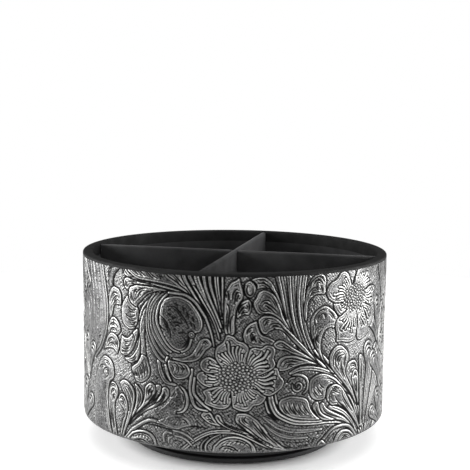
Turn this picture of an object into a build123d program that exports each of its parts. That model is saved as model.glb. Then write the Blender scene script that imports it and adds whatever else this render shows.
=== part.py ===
from build123d import *
from math import radians, tan
import os

# Rotating pen holder: a round, leather-covered drum with four compartments, which turns on a
# ball-bearing base. Millimetres, +Z up, origin on the axis of rotation where the feet meet the desk.

# Drum wall, from the outside in
drum_diameter = 160.0  # over the leather
drum_height = 86.0  # underside of the drum to the top of the rim
leather_thickness = 1.2
turn_under_width = 7.0  # leather glued under the drum, measured from the outside
seam_gap = 0.3  # butt seam at the back of the leather
shell_wall = 2.9  # rolled board tube
shell_edge_radius = 0.8  # round the bottom edge of the tube, under the leather
liner_thickness = 0.8
glue_line = 0.1  # between the glued layers
binding_thickness = 1.0  # over the top edge of the tube
binding_outside = 0.6  # reach of the binding below that edge, outside
binding_inside = 5.0  # reach of the binding below that edge, inside
binding_edge_radius = 0.9

# Dividers and floor
divider_board = 2.0
divider_board_edge_radius = 0.7  # along the top
divider_lining = 0.5  # cloth on each face and over the top edge
divider_drop = 0.6  # below the rim
divider_end_gap = 0.2
slot_clearance = 0.1  # where the two dividers cross
floor_pad_thickness = 1.5
floor_pad_gap = 0.3
floor_pad_corner = 2.0

# Turntable and base plate
base_diameter = 110.0
base_plate_thickness = 2.4
base_edge_radius = 0.6
turntable_diameter = 108.0
turntable_thickness = 2.6
turntable_edge_chamfer = 0.5
skirt_wall = 2.5
running_gap = 0.6  # between the turning skirt and the standing plate
rib_count = 8
rib_thickness = 1.6
rib_height = 3.0

# Ball bearing
race_diameter = 70.0
race_ring_width = 10.0
race_ring_height = 2.7
race_depth = 0.6
race_clearance = 0.05
ball_diameter = 4.0
ball_count = 16
cage_width = 8.0
cage_thickness = 1.2
pocket_clearance = 0.15

# Pivot: a shoulder bolt with its washer and nut
hub_diameter = 16.0
hub_gap = 0.3  # under the turntable, which the balls carry
shoulder_diameter = 8.0
shoulder_clearance = 0.08
bolt_head_diameter = 12.0
bolt_head_height = 1.6
bolt_head_recess = 0.2  # head above the underside of the base plate
bolt_head_clearance = 0.3
hex_key_width = 4.0
hex_key_depth = 1.0
thread_diameter = 6.0
thread_clearance = 0.05
thread_tail = 0.5  # thread above the nut
tail_clearance = 0.4  # thread below the top of the floor board
washer_diameter = 12.0
washer_thickness = 1.0
nut_width = 10.0  # across the flats
nut_height = 3.2
nut_chamfer = 0.4
thrust_gap = 0.1  # between the turntable and the washer
pocket_gap = 2.0  # round the washer, in the floor board

# Screws that hold the turntable to the floor board
screw_count = 4
screw_start_angle = 45.0
screw_diameter = 4.0
screw_head_diameter = 8.0
screw_head_angle = 90.0  # of the countersink
screw_hole_clearance = 0.2
screw_tip_gap = 0.3
pilot_clearance = 0.02
boss_diameter = 8.0
boss_height = 4.0
boss_floor = 0.8
recess_length = 4.4  # cross recess of the screw head
recess_width = 0.9
recess_depth = 1.3

# Feet
foot_count = 4
foot_diameter = 12.0
foot_proud = 0.8  # below the base plate
foot_recess = 1.0  # into the base plate
foot_inset = 9.0  # from the edge of the base plate to the middle of a foot
foot_clearance = 0.1
foot_edge_radius = 0.4

# Radii of the drum wall
drum_radius = drum_diameter / 2
shell_outer_radius = drum_radius - leather_thickness - glue_line
shell_inner_radius = shell_outer_radius - shell_wall
liner_outer_radius = shell_inner_radius - glue_line
liner_inner_radius = liner_outer_radius - liner_thickness
leather_edge_radius = shell_edge_radius + leather_thickness
turn_under_radius = drum_radius - turn_under_width

# Radii of the base
base_radius = base_diameter / 2
turntable_radius = turntable_diameter / 2
skirt_inner_radius = turntable_radius - skirt_wall
race_radius = race_diameter / 2
race_inner_radius = race_radius - race_ring_width / 2
race_outer_radius = race_radius + race_ring_width / 2
ball_radius = ball_diameter / 2
groove_radius = ball_radius + race_clearance
shoulder_radius = shoulder_diameter / 2
thread_radius = thread_diameter / 2
screw_radius = screw_diameter / 2
screw_head_radius = screw_head_diameter / 2
screw_head_height = (screw_head_radius - screw_radius) / tan(radians(screw_head_angle / 2))
screw_circle_radius = (race_outer_radius + skirt_inner_radius) / 2
foot_radius = foot_diameter / 2
foot_circle_radius = base_radius - foot_inset
pocket_radius = max(washer_diameter, nut_width) / 2 + pocket_gap

# Heights from the desk up
base_underside = foot_proud
base_top = base_underside + base_plate_thickness
lower_race_top = base_top + race_ring_height
ball_height = lower_race_top - race_depth + ball_radius
upper_race_bottom = ball_height + ball_radius - race_depth
turntable_ceiling = upper_race_bottom + race_ring_height
turntable_top = turntable_ceiling + turntable_thickness
skirt_bottom = base_top + running_gap
boss_bottom = turntable_ceiling - boss_height
hub_top = turntable_ceiling - hub_gap
bolt_seat = base_underside + bolt_head_recess + bolt_head_height
shoulder_top = turntable_top + thrust_gap
nut_bottom = shoulder_top + washer_thickness
thread_top = nut_bottom + nut_height + thread_tail
drum_underside = turntable_top
board_bottom = drum_underside + leather_thickness
board_top = thread_top + tail_clearance
board_thickness = board_top - board_bottom
rim_top = drum_underside + drum_height
shell_top = rim_top - binding_thickness
leather_top = shell_top - binding_outside
liner_top = shell_top - binding_inside
divider_top = rim_top - divider_drop
divider_height = divider_top - board_top
divider_thickness = divider_board + 2 * divider_lining
divider_edge_radius = divider_board_edge_radius + divider_lining
divider_length = 2 * (liner_inner_radius - divider_end_gap)
slot_width = divider_thickness + 2 * slot_clearance

corner = (Align.MIN, Align.MIN)
os.makedirs("parts", exist_ok=True)


def save(piece, name):
    """Labels a finished piece and writes its STEP file."""
    piece.part.label = name
    export_step(piece.part, f"parts/{name}.step")


def ring_section(inner_radius, bottom, width, height):
    """Draws one rectangle of a half section: inner radius, lower edge, radial width and height."""
    with Locations((inner_radius, bottom)):
        Rectangle(width, height, align=corner)


def rings(piece, radius, height):
    """The circular edges of a turned piece at one radius and height."""
    tolerance = glue_line / 10
    circles = piece.edges().filter_by(GeomType.CIRCLE)
    return circles.filter_by(
        lambda edge: abs(edge.radius - radius) < tolerance
        and abs(edge.arc_center.Z - height) < tolerance
        and abs(edge.arc_center.X) < tolerance
        and abs(edge.arc_center.Y) < tolerance
    )


# Rubber feet, set into the underside of the base plate
for number in range(foot_count):
    with BuildPart() as foot:
        with BuildSketch():
            with PolarLocations(foot_circle_radius, 1, start_angle=number * 360 / foot_count):
                Circle(foot_radius)
        extrude(amount=foot_proud + foot_recess)
        fillet(foot.edges().filter_by(GeomType.CIRCLE).sort_by(Axis.Z)[0], foot_edge_radius)
    save(foot, f"rubber_foot_{number + 1}")

# Base plate: a moulded disc with the lower ball race, the hub and the sockets of the feet
with BuildPart() as base_plate:
    with BuildSketch(Plane.XZ):
        ring_section(0, base_underside, base_radius, base_plate_thickness)
        ring_section(race_inner_radius, base_underside, race_ring_width, lower_race_top - base_underside)
        ring_section(0, base_underside, hub_diameter / 2, hub_top - base_underside)
        with Locations((race_radius, ball_height)):
            Circle(groove_radius, mode=Mode.SUBTRACT)
    revolve(axis=Axis.Z)
    fillet(rings(base_plate, base_radius, base_top), base_edge_radius)
    fillet(rings(base_plate, base_radius, base_underside), base_edge_radius)
    with BuildSketch(Plane.XY.offset(base_underside)):
        with PolarLocations(foot_circle_radius, foot_count):
            Circle(foot_radius + foot_clearance)
    extrude(amount=foot_recess, mode=Mode.SUBTRACT)
    with BuildSketch(Plane.XY.offset(base_underside)):
        Circle(bolt_head_diameter / 2 + bolt_head_clearance)
    extrude(amount=bolt_seat - base_underside, mode=Mode.SUBTRACT)
    Hole(shoulder_radius + shoulder_clearance)
save(base_plate, "base_plate")

# Pivot: the shoulder bolt comes up through the hub and stands still while the turntable turns on it
with BuildPart() as pivot_bolt:
    with BuildSketch(Plane.XZ):
        ring_section(0, bolt_seat - bolt_head_height, bolt_head_diameter / 2, bolt_head_height)
        ring_section(0, bolt_seat, shoulder_radius, shoulder_top - bolt_seat)
        ring_section(0, shoulder_top, thread_radius, thread_top - shoulder_top)
    revolve(axis=Axis.Z)
    chamfer(rings(pivot_bolt, thread_radius, thread_top), thread_tail / 2)
    with BuildSketch(Plane.XY.offset(bolt_seat - bolt_head_height)):
        RegularPolygon(hex_key_width / 2, 6, major_radius=False)
    extrude(amount=hex_key_depth, mode=Mode.SUBTRACT)
save(pivot_bolt, "pivot_bolt")

with BuildPart() as pivot_washer:
    with BuildSketch(Plane.XY.offset(shoulder_top)):
        Circle(washer_diameter / 2)
        Circle(thread_radius + thread_clearance, mode=Mode.SUBTRACT)
    extrude(amount=washer_thickness)
save(pivot_washer, "pivot_washer")

with BuildPart() as pivot_nut:
    with BuildSketch(Plane.XY.offset(nut_bottom)):
        RegularPolygon(nut_width / 2, 6, major_radius=False)
        Circle(thread_radius + thread_clearance, mode=Mode.SUBTRACT)
    extrude(amount=nut_height)
    chamfer(pivot_nut.faces().sort_by(Axis.Z)[-1].outer_wire().edges(), nut_chamfer)
save(pivot_nut, "pivot_nut")

# Ball bearing: steel balls between the two races, spaced by a flat cage
with BuildPart() as ball_cage:
    with BuildSketch(Plane.XY.offset(ball_height - cage_thickness / 2)):
        Circle(race_radius + cage_width / 2)
        Circle(race_radius - cage_width / 2, mode=Mode.SUBTRACT)
        with PolarLocations(race_radius, ball_count):
            Circle(ball_radius + pocket_clearance, mode=Mode.SUBTRACT)
    extrude(amount=cage_thickness)
save(ball_cage, "ball_cage")

with BuildPart() as bearing_balls:
    with Locations(Plane.XY.offset(ball_height)):
        with PolarLocations(race_radius, ball_count):
            Sphere(ball_radius)
save(bearing_balls, "bearing_balls")

# Turntable: a moulded cup with the upper ball race, screw bosses and stiffening ribs inside
with BuildPart() as turntable_plate:
    with BuildSketch(Plane.XZ):
        ring_section(0, turntable_ceiling, turntable_radius, turntable_thickness)
        ring_section(skirt_inner_radius, skirt_bottom, skirt_wall, turntable_top - skirt_bottom)
        ring_section(race_inner_radius, upper_race_bottom, race_ring_width, race_ring_height)
        with Locations((race_radius, ball_height)):
            Circle(groove_radius, mode=Mode.SUBTRACT)
    revolve(axis=Axis.Z)
    chamfer(rings(turntable_plate, turntable_radius, skirt_bottom), turntable_edge_chamfer)
    with BuildSketch(Plane.XY.offset(boss_bottom)):
        with PolarLocations(screw_circle_radius, screw_count, start_angle=screw_start_angle):
            Circle(boss_diameter / 2)
    extrude(amount=boss_height)
    with BuildSketch(Plane.XY.offset(turntable_ceiling - rib_height)):
        with PolarLocations(screw_circle_radius, rib_count, start_angle=180 / rib_count):
            Rectangle(skirt_inner_radius - race_outer_radius + skirt_wall, rib_thickness)
    extrude(amount=rib_height)
    with Locations(Plane.XY.offset(turntable_top)):
        Hole(shoulder_radius + shoulder_clearance)
        with PolarLocations(screw_circle_radius, screw_count, start_angle=screw_start_angle):
            Hole(screw_radius + pilot_clearance, depth=turntable_top - boss_bottom - boss_floor)
save(turntable_plate, "turntable_plate")

# Underside of the drum: a paper disc inside the turned-under leather
with BuildPart() as underside_cover:
    with BuildSketch(Plane.XY.offset(drum_underside)):
        Circle(turn_under_radius - glue_line)
        Circle(pocket_radius, mode=Mode.SUBTRACT)
        with PolarLocations(screw_circle_radius, screw_count, start_angle=screw_start_angle):
            Circle(screw_radius + screw_hole_clearance, mode=Mode.SUBTRACT)
    extrude(amount=leather_thickness)
save(underside_cover, "underside_cover")

# Floor board, pressed into the tube, with countersunk screw holes and the pocket of the pivot nut
with BuildPart() as floor_board:
    with BuildSketch(Plane.XY.offset(board_bottom)):
        Circle(shell_inner_radius - glue_line)
        Circle(pocket_radius, mode=Mode.SUBTRACT)
    extrude(amount=board_thickness)
    with Locations(Plane.XY.offset(board_top)):
        with PolarLocations(screw_circle_radius, screw_count, start_angle=screw_start_angle):
            CounterSinkHole(
                screw_radius + screw_hole_clearance,
                screw_head_radius + screw_hole_clearance,
                counter_sink_angle=screw_head_angle,
            )
save(floor_board, "floor_board")

# Countersunk screws, driven from inside the drum into the bosses of the turntable
with BuildPart() as screw:
    with BuildSketch(Plane.XZ):
        with BuildLine():
            Polyline(
                (0, board_top),
                (screw_head_radius, board_top),
                (screw_radius, board_top - screw_head_height),
                (screw_radius, boss_bottom + boss_floor + screw_tip_gap + screw_radius),
                (0, boss_bottom + boss_floor + screw_tip_gap),
                close=True,
            )
        make_face()
    revolve(axis=Axis.Z)
    with BuildSketch(Plane.XY.offset(board_top)):
        Rectangle(recess_length, recess_width)
        Rectangle(recess_width, recess_length)
    extrude(amount=-recess_depth, mode=Mode.SUBTRACT)

with BuildPart() as turntable_screws:
    with PolarLocations(screw_circle_radius, screw_count, start_angle=screw_start_angle):
        add(screw.part)
save(turntable_screws, "turntable_screws")

# Drum shell: a rolled board tube that carries every other piece of the drum
with BuildPart() as drum_shell:
    with BuildSketch(Plane.XZ):
        ring_section(shell_inner_radius, board_bottom, shell_wall, shell_top - board_bottom)
    revolve(axis=Axis.Z)
    fillet(rings(drum_shell, shell_outer_radius, board_bottom), shell_edge_radius)
save(drum_shell, "drum_shell")

# Leather wrap: one sheet round the tube, turned under at the bottom, with a butt seam at the back
with BuildPart() as leather_wrap:
    with BuildSketch(Plane.XZ):
        ring_section(
            drum_radius - leather_thickness, drum_underside, leather_thickness, leather_top - drum_underside
        )
        ring_section(turn_under_radius, drum_underside, turn_under_width, leather_thickness)
    revolve(axis=Axis.Z)
    fillet(rings(leather_wrap, drum_radius, drum_underside), leather_edge_radius)
    fillet(rings(leather_wrap, drum_radius - leather_thickness, board_bottom), shell_edge_radius)
    with BuildSketch(Plane.XY.offset(drum_underside)):
        Rectangle(seam_gap, drum_diameter, align=(Align.CENTER, Align.MIN))
    extrude(amount=drum_height, mode=Mode.SUBTRACT)
save(leather_wrap, "leather_wrap")

# Wall liner, inside the tube from the floor board to the binding
with BuildPart() as wall_liner:
    with BuildSketch(Plane.XZ):
        ring_section(liner_inner_radius, board_top, liner_thickness, liner_top - board_top)
    revolve(axis=Axis.Z)
save(wall_liner, "wall_liner")

# Rim binding: a black strip folded over the top edge of the tube
with BuildPart() as rim_binding:
    with BuildSketch(Plane.XZ):
        ring_section(liner_inner_radius, shell_top, drum_radius - liner_inner_radius, binding_thickness)
        ring_section(liner_inner_radius, liner_top, liner_thickness, rim_top - liner_top)
        ring_section(drum_radius - leather_thickness, leather_top, leather_thickness, rim_top - leather_top)
    revolve(axis=Axis.Z)
    fillet(rings(rim_binding, drum_radius, rim_top), binding_edge_radius)
    fillet(rings(rim_binding, liner_inner_radius, rim_top), binding_edge_radius)
save(rim_binding, "rim_binding")


# Dividers: two lined boards that cross in half-height slots and stand on the floor board.
# The long one runs along X and is slotted from the top, the cross one runs along Y and is slotted
# from below, so its top edge runs through at the crossing.
along = {"long": Plane.YZ, "cross": Plane.XZ}
slot_floor = {"long": board_top + divider_height / 2, "cross": board_top}
for name, end_plane in along.items():
    across_slot = (slot_width, divider_length) if name == "long" else (divider_length, slot_width)
    with BuildPart() as divider_board_piece:
        with BuildSketch(end_plane):
            with Locations((0, board_top)):
                Rectangle(divider_board, divider_height - divider_lining, align=(Align.CENTER, Align.MIN))
        extrude(amount=divider_length / 2, both=True)
        top_edges = divider_board_piece.faces().sort_by(Axis.Z)[-1].edges()
        fillet(top_edges.sort_by(SortBy.LENGTH)[-2:], divider_board_edge_radius)
        with BuildSketch(Plane.XY.offset(slot_floor[name])):
            Rectangle(*across_slot)
        extrude(amount=divider_height / 2, mode=Mode.SUBTRACT)
    save(divider_board_piece, f"{name}_divider_board")

    with BuildPart() as divider_lining_piece:
        with BuildSketch(end_plane):
            with Locations((0, board_top)):
                Rectangle(divider_thickness, divider_height, align=(Align.CENTER, Align.MIN))
        extrude(amount=divider_length / 2, both=True)
        top_edges = divider_lining_piece.faces().sort_by(Axis.Z)[-1].edges()
        fillet(top_edges.sort_by(SortBy.LENGTH)[-2:], divider_edge_radius)
        with BuildSketch(Plane.XY.offset(slot_floor[name])):
            Rectangle(*across_slot)
        extrude(amount=divider_height / 2, mode=Mode.SUBTRACT)
        add(divider_board_piece.part, mode=Mode.SUBTRACT)
    save(divider_lining_piece, f"{name}_divider_lining")

# Floor pads: a felt quarter in each compartment, over the heads of the screws
pad_radius = liner_inner_radius - floor_pad_gap
pad_offset = divider_thickness / 2 + floor_pad_gap
for name, side_x, side_y in (
    ("front_right", 1, -1),
    ("back_right", 1, 1),
    ("back_left", -1, 1),
    ("front_left", -1, -1),
):
    with BuildPart() as floor_pad:
        with BuildSketch(Plane.XY.offset(board_top)) as outline:
            Circle(pad_radius)
            with Locations((side_x * (pad_offset + pad_radius / 2), side_y * (pad_offset + pad_radius / 2))):
                Rectangle(pad_radius, pad_radius, mode=Mode.INTERSECT)
            fillet(outline.vertices(), floor_pad_corner)
        extrude(amount=floor_pad_thickness)
    save(floor_pad, f"floor_pad_{name}")
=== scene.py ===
import math

import bmesh
import bpy
import mathutils
import numpy as np
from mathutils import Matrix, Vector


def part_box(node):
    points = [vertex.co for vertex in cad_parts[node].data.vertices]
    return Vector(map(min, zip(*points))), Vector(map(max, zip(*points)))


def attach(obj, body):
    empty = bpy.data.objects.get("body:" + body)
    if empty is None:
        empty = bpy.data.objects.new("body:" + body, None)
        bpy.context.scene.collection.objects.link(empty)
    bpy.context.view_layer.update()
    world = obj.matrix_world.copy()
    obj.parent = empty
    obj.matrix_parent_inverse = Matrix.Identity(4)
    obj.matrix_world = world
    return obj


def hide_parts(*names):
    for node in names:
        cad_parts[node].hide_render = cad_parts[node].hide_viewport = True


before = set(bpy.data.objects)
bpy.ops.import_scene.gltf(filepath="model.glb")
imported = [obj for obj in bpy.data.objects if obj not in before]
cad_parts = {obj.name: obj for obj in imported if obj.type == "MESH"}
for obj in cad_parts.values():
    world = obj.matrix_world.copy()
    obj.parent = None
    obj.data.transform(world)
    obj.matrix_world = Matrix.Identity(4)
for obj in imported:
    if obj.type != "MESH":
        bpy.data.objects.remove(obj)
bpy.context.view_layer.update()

# Rubber feet: four moulded discs pressed into recesses under the base plate.
# Black natural rubber, matt, with the faint orange peel of its mould.
mm = 0.001


def colour(code):
    """Linear colour of an sRGB hex value."""
    shares = [int(code[k : k + 2], 16) / 255 for k in (1, 3, 5)]
    return [c / 12.92 if c <= 0.04045 else ((c + 0.055) / 1.055) ** 2.4 for c in shares] + [1.0]


def drive(node, links):
    """Link other nodes' outputs to a node's inputs."""
    for name, output in links.items():
        node.id_data.links.new(output, node.inputs[name])


def add(material, kind, settings, links=None):
    """Add one node to a material, with its settings, and link its inputs to other nodes' outputs."""
    made = material.node_tree.nodes.new("ShaderNode" + kind)
    for name, value in settings.items():
        if name == "stops":
            for stop, (position, code) in zip(made.color_ramp.elements, value):
                stop.position = position
                stop.color = colour(code)
        elif name in made.inputs:
            made.inputs[name].default_value = value
        else:
            setattr(made, name, value)
    drive(made, links or {})
    return made


def surface(name, settings):
    """A new material, its shader with constant settings, and its object coordinates."""
    material = bpy.data.materials.new(name)
    material.use_nodes = True
    shader = material.node_tree.nodes["Principled BSDF"]
    for socket, value in settings.items():
        shader.inputs[socket].default_value = value
    place = add(material, "TexCoord", {}).outputs["Object"]
    return material, shader, place


def finish_with(material, *names):
    """Give CAD nodes their finish."""
    for name in names:
        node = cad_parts[name]
        node.data.materials.clear()
        node.data.materials.append(material)


rubber, shader, place = surface("moulded_rubber", {"Base Color": colour("#222221"), "Roughness": 0.8})
peel = add(rubber, "TexNoise", {"Scale": 1 / (0.8 * mm), "Detail": 3.0}, {"Vector": place})
bump = add(rubber, "Bump", {"Strength": 0.25, "Distance": 0.05 * mm}, {"Height": peel.outputs["Fac"]})
drive(shader, {"Normal": bump.outputs["Normal"]})
finish_with(rubber, "rubber_foot_1", "rubber_foot_2", "rubber_foot_3", "rubber_foot_4")

# Base plate and turntable: two round mouldings, one standing and one turning, with a thin gap between.
# Black ABS with a fine satin mould texture, a little shinier where hands and desk have rubbed it.
# The grit of that texture is drawn coarser than it is, so that it shows.
abs_plastic, shader, place = surface(
    "satin_black_abs", {"Base Color": colour("#1d1d1e"), "Specular IOR Level": 0.3}
)
rubbed = add(abs_plastic, "TexNoise", {"Scale": 1 / (9 * mm), "Detail": 4.0}, {"Vector": place})
gloss = add(
    abs_plastic,
    "MapRange",
    {"From Min": 0.3, "From Max": 0.7, "To Min": 0.5, "To Max": 0.66},
    {"Value": rubbed.outputs["Fac"]},
)
grit = add(abs_plastic, "TexNoise", {"Scale": 1 / (0.35 * mm), "Detail": 2.0}, {"Vector": place})
bump = add(abs_plastic, "Bump", {"Strength": 0.18, "Distance": 0.03 * mm}, {"Height": grit.outputs["Fac"]})
drive(shader, {"Roughness": gloss.outputs["Result"], "Normal": bump.outputs["Normal"]})
finish_with(abs_plastic, "base_plate", "turntable_plate")

# Bearing: sixteen steel balls in a cage ring, between the races of the two mouldings.
# The cage is natural nylon, milky and waxy; the balls are hardened steel, ground and polished.
nylon, shader, place = surface(
    "natural_nylon", {"Base Color": colour("#e3dfd2"), "Roughness": 0.42, "Subsurface Weight": 0.15}
)
shader.inputs["Subsurface Radius"].default_value = (1.2 * mm, 1.0 * mm, 0.8 * mm)
flow = add(nylon, "TexNoise", {"Scale": 1 / (1.5 * mm), "Detail": 3.0}, {"Vector": place})
bump = add(nylon, "Bump", {"Strength": 0.1, "Distance": 0.05 * mm}, {"Height": flow.outputs["Fac"]})
drive(shader, {"Normal": bump.outputs["Normal"]})
finish_with(nylon, "ball_cage")

ball_steel, shader, place = surface("polished_ball_steel", {"Base Color": colour("#dcdddf"), "Metallic": 1.0})
film = add(ball_steel, "TexNoise", {"Scale": 1 / (1.0 * mm), "Detail": 2.0}, {"Vector": place})
gloss = add(ball_steel, "MapRange", {"To Min": 0.05, "To Max": 0.16}, {"Value": film.outputs["Fac"]})
drive(shader, {"Roughness": gloss.outputs["Result"]})
finish_with(ball_steel, "bearing_balls")

# Pivot and screws: a shoulder bolt with its washer and nut, and four countersunk screws.
# Zinc-plated steel: greyish bright metal with a slightly cloudy plating.
zinc, shader, place = surface("zinc_plated_steel", {"Metallic": 1.0})
cloud = add(zinc, "TexNoise", {"Scale": 1 / (1.8 * mm), "Detail": 5.0}, {"Vector": place})
tint = add(
    zinc,
    "ValToRGB",
    {"stops": ((0.0, "#a3a6a8"), (1.0, "#cdcfd0"))},
    {"Fac": cloud.outputs["Fac"]},
)
gloss = add(zinc, "MapRange", {"To Min": 0.22, "To Max": 0.42}, {"Value": cloud.outputs["Fac"]})
drive(shader, {"Base Color": tint.outputs["Color"], "Roughness": gloss.outputs["Result"]})
finish_with(zinc, "pivot_bolt", "pivot_washer", "pivot_nut", "turntable_screws")

# Boards: the floor and the two dividers are sawn fibreboard, hidden under felt and cloth.
# Pressed wood fibre, tan and dull, with short darker fibres.
fibre, shader, place = surface("sawn_fibreboard", {"Roughness": 0.88})
strand = add(
    fibre,
    "TexNoise",
    {"Scale": 1 / (0.9 * mm), "Detail": 6.0, "Roughness": 0.7, "Distortion": 1.5},
    {"Vector": place},
)
tint = add(
    fibre,
    "ValToRGB",
    {"stops": ((0.3, "#7d6243"), (0.7, "#b59468"))},
    {"Fac": strand.outputs["Fac"]},
)
bump = add(fibre, "Bump", {"Strength": 0.3, "Distance": 0.08 * mm}, {"Height": strand.outputs["Fac"]})
drive(shader, {"Base Color": tint.outputs["Color"], "Normal": bump.outputs["Normal"]})
finish_with(fibre, "floor_board", "long_divider_board", "cross_divider_board")

# Drum shell: a tube rolled from layers of board, which carries every other piece of the drum.
# Greyboard is recycled paper: dull, warm grey, with flecks and the faint lines of its plies.
greyboard, shader, place = surface("rolled_greyboard", {"Roughness": 0.92})
fleck = add(
    greyboard, "TexNoise", {"Scale": 1 / (0.7 * mm), "Detail": 5.0, "Roughness": 0.75}, {"Vector": place}
)
ply = add(
    greyboard,
    "TexWave",
    {"wave_type": "RINGS", "rings_direction": "Z", "Scale": 0.314 / (0.7 * mm), "Distortion": 2.0},
    {"Vector": place},
)
blend = add(
    greyboard,
    "Mix",
    {"data_type": "FLOAT", "Factor": 0.2},
    {"A": fleck.outputs["Fac"], "B": ply.outputs["Fac"]},
)
tint = add(
    greyboard,
    "ValToRGB",
    {"stops": ((0.25, "#6f675b"), (0.75, "#a39a8b"))},
    {"Fac": blend.outputs["Result"]},
)
bump = add(greyboard, "Bump", {"Strength": 0.25, "Distance": 0.06 * mm}, {"Height": fleck.outputs["Fac"]})
drive(shader, {"Base Color": tint.outputs["Color"], "Normal": bump.outputs["Normal"]})
finish_with(greyboard, "drum_shell")

# Underside cover: a ring of black cover paper, glued over the edge of the turned-under leather.
# Uncoated paper, matt, embossed with a fine pebble.
paper, shader, place = surface("black_cover_paper", {"Base Color": colour("#262524"), "Roughness": 0.82})
pebble = add(paper, "TexVoronoi", {"Scale": 1 / (0.9 * mm)}, {"Vector": place})
bump = add(paper, "Bump", {"Strength": 0.35, "Distance": 0.06 * mm}, {"Height": pebble.outputs["Distance"]})
drive(shader, {"Normal": bump.outputs["Normal"]})
finish_with(paper, "underside_cover")

# Leather wrap: one sheet round the tube, turned under at the bottom, with a butt seam at the back.
# Veg-tanned leather, embossed with a floral scroll, silvered and antiqued: dark wax stays in the cuts.
leather_low, leather_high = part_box("leather_wrap")
drum_radius = leather_high[0] / mm
wall_bottom = leather_low[2] / mm
wall_top = leather_high[2] / mm

# The pattern, unrolled in millimetres, across the wall and up it, over half of the way round: each shape is
# pressed over those before it, and the half is repeated
unit_width = math.pi * drum_radius
unit_height = wall_top - wall_bottom
columns = 740
rows = 248
cell_across = unit_width / columns
cell_up = unit_height / rows

# Levels below the leather's own face, and the reach of the tools' edges
ground_level = -0.24
edge_level = -0.17
crown_reach = 0.55
bevel_depth = 0.12
bevel_reach = 0.7
bevel_floor = -0.5
cut_depth = 0.42
cut_width = 0.46
mark_width = 0.37
mark_margin = (0.35, 0.9)
far_off = 9.0

# Fields: the face's level, the lines cut into it, the bare ground, and the way to the nearest shape
relief = np.full((rows + 1, columns), ground_level)
cut = np.zeros((rows + 1, columns))
ground = np.ones((rows + 1, columns))
clearance = np.full((rows + 1, columns), far_off)


def window(low, high, margin=4.0):
    """The cells between two corners and a margin round them, and how far across and up each one lies."""
    first = math.floor((low[0] - margin) / cell_across)
    last = math.ceil((high[0] + margin) / cell_across)
    bottom = max(0, math.floor((low[1] - margin) / cell_up))
    top = min(rows, math.ceil((high[1] + margin) / cell_up))
    across_index = np.arange(first, last + 1)
    up_index = np.arange(bottom, top + 1)
    across, up = np.meshgrid(across_index * cell_across, up_index * cell_up)
    return np.ix_(up_index, across_index % columns), across, up


def press(place, outline, marks, firm=1.0):
    """One raised shape over what is there: outline is the distance outside its edge, marks its inner cuts."""
    inside = outline < 0
    crown = edge_level * np.exp(np.minimum(outline, 0) / crown_reach)
    beside = relief[place] - bevel_depth * np.exp(-np.maximum(outline, 0) / bevel_reach)
    relief[place] = np.where(inside, crown, np.maximum(beside, bevel_floor))
    edge = firm * np.exp(-((outline / cut_width) ** 2))
    cut[place] = np.where(inside, np.maximum(edge, marks), np.maximum(cut[place], edge))
    ground[place] = np.where(inside, 0.0, ground[place])
    clearance[place] = np.minimum(clearance[place], np.maximum(outline, 0))


def smooth_line(points, step=0.3):
    """A smooth curve through the points, and how many of the points it has passed at each place."""
    knots = np.array(points, float)
    knots = np.vstack((2 * knots[0] - knots[1], knots, 2 * knots[-1] - knots[-2]))
    curve = []
    passed = []
    for k in range(1, len(knots) - 2):
        before, start, end, after = knots[k - 1 : k + 3]
        count = max(2, int(np.hypot(*(end - start)) / step))
        share = np.linspace(0, 1, count, endpoint=False)[:, None]
        bend = 2 * before - 5 * start + 4 * end - after
        twist = 3 * start - before - 3 * end + after
        curve.append(0.5 * (2 * start + (end - before) * share + bend * share**2 + twist * share**3))
        passed.append(k - 1 + share[:, 0])
    curve.append(knots[-2:-1])
    passed.append([len(points) - 1.0])
    return np.vstack(curve), np.concatenate(passed)


def fade(value, low, high):
    """A soft step: 0 up to low, 1 from high on."""
    share = np.clip((value - low) / (high - low), 0, 1)
    return share * share * (3 - 2 * share)


def line_at(offset, width):
    """The strength of a line, by distance from its middle."""
    return np.exp(-((offset / width) ** 2))


def arc(across, up, radius, start, end, steps=6):
    """Points on an arc; angles in degrees."""
    turns = [math.radians(start + (end - start) * k / steps) for k in range(steps + 1)]
    return [(across + radius * math.cos(t), up + radius * math.sin(t)) for t in turns]


first_arc = 0.9
arc_pitch = 2.0
arc_inset = 1.7
least_arc = 0.9


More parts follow.
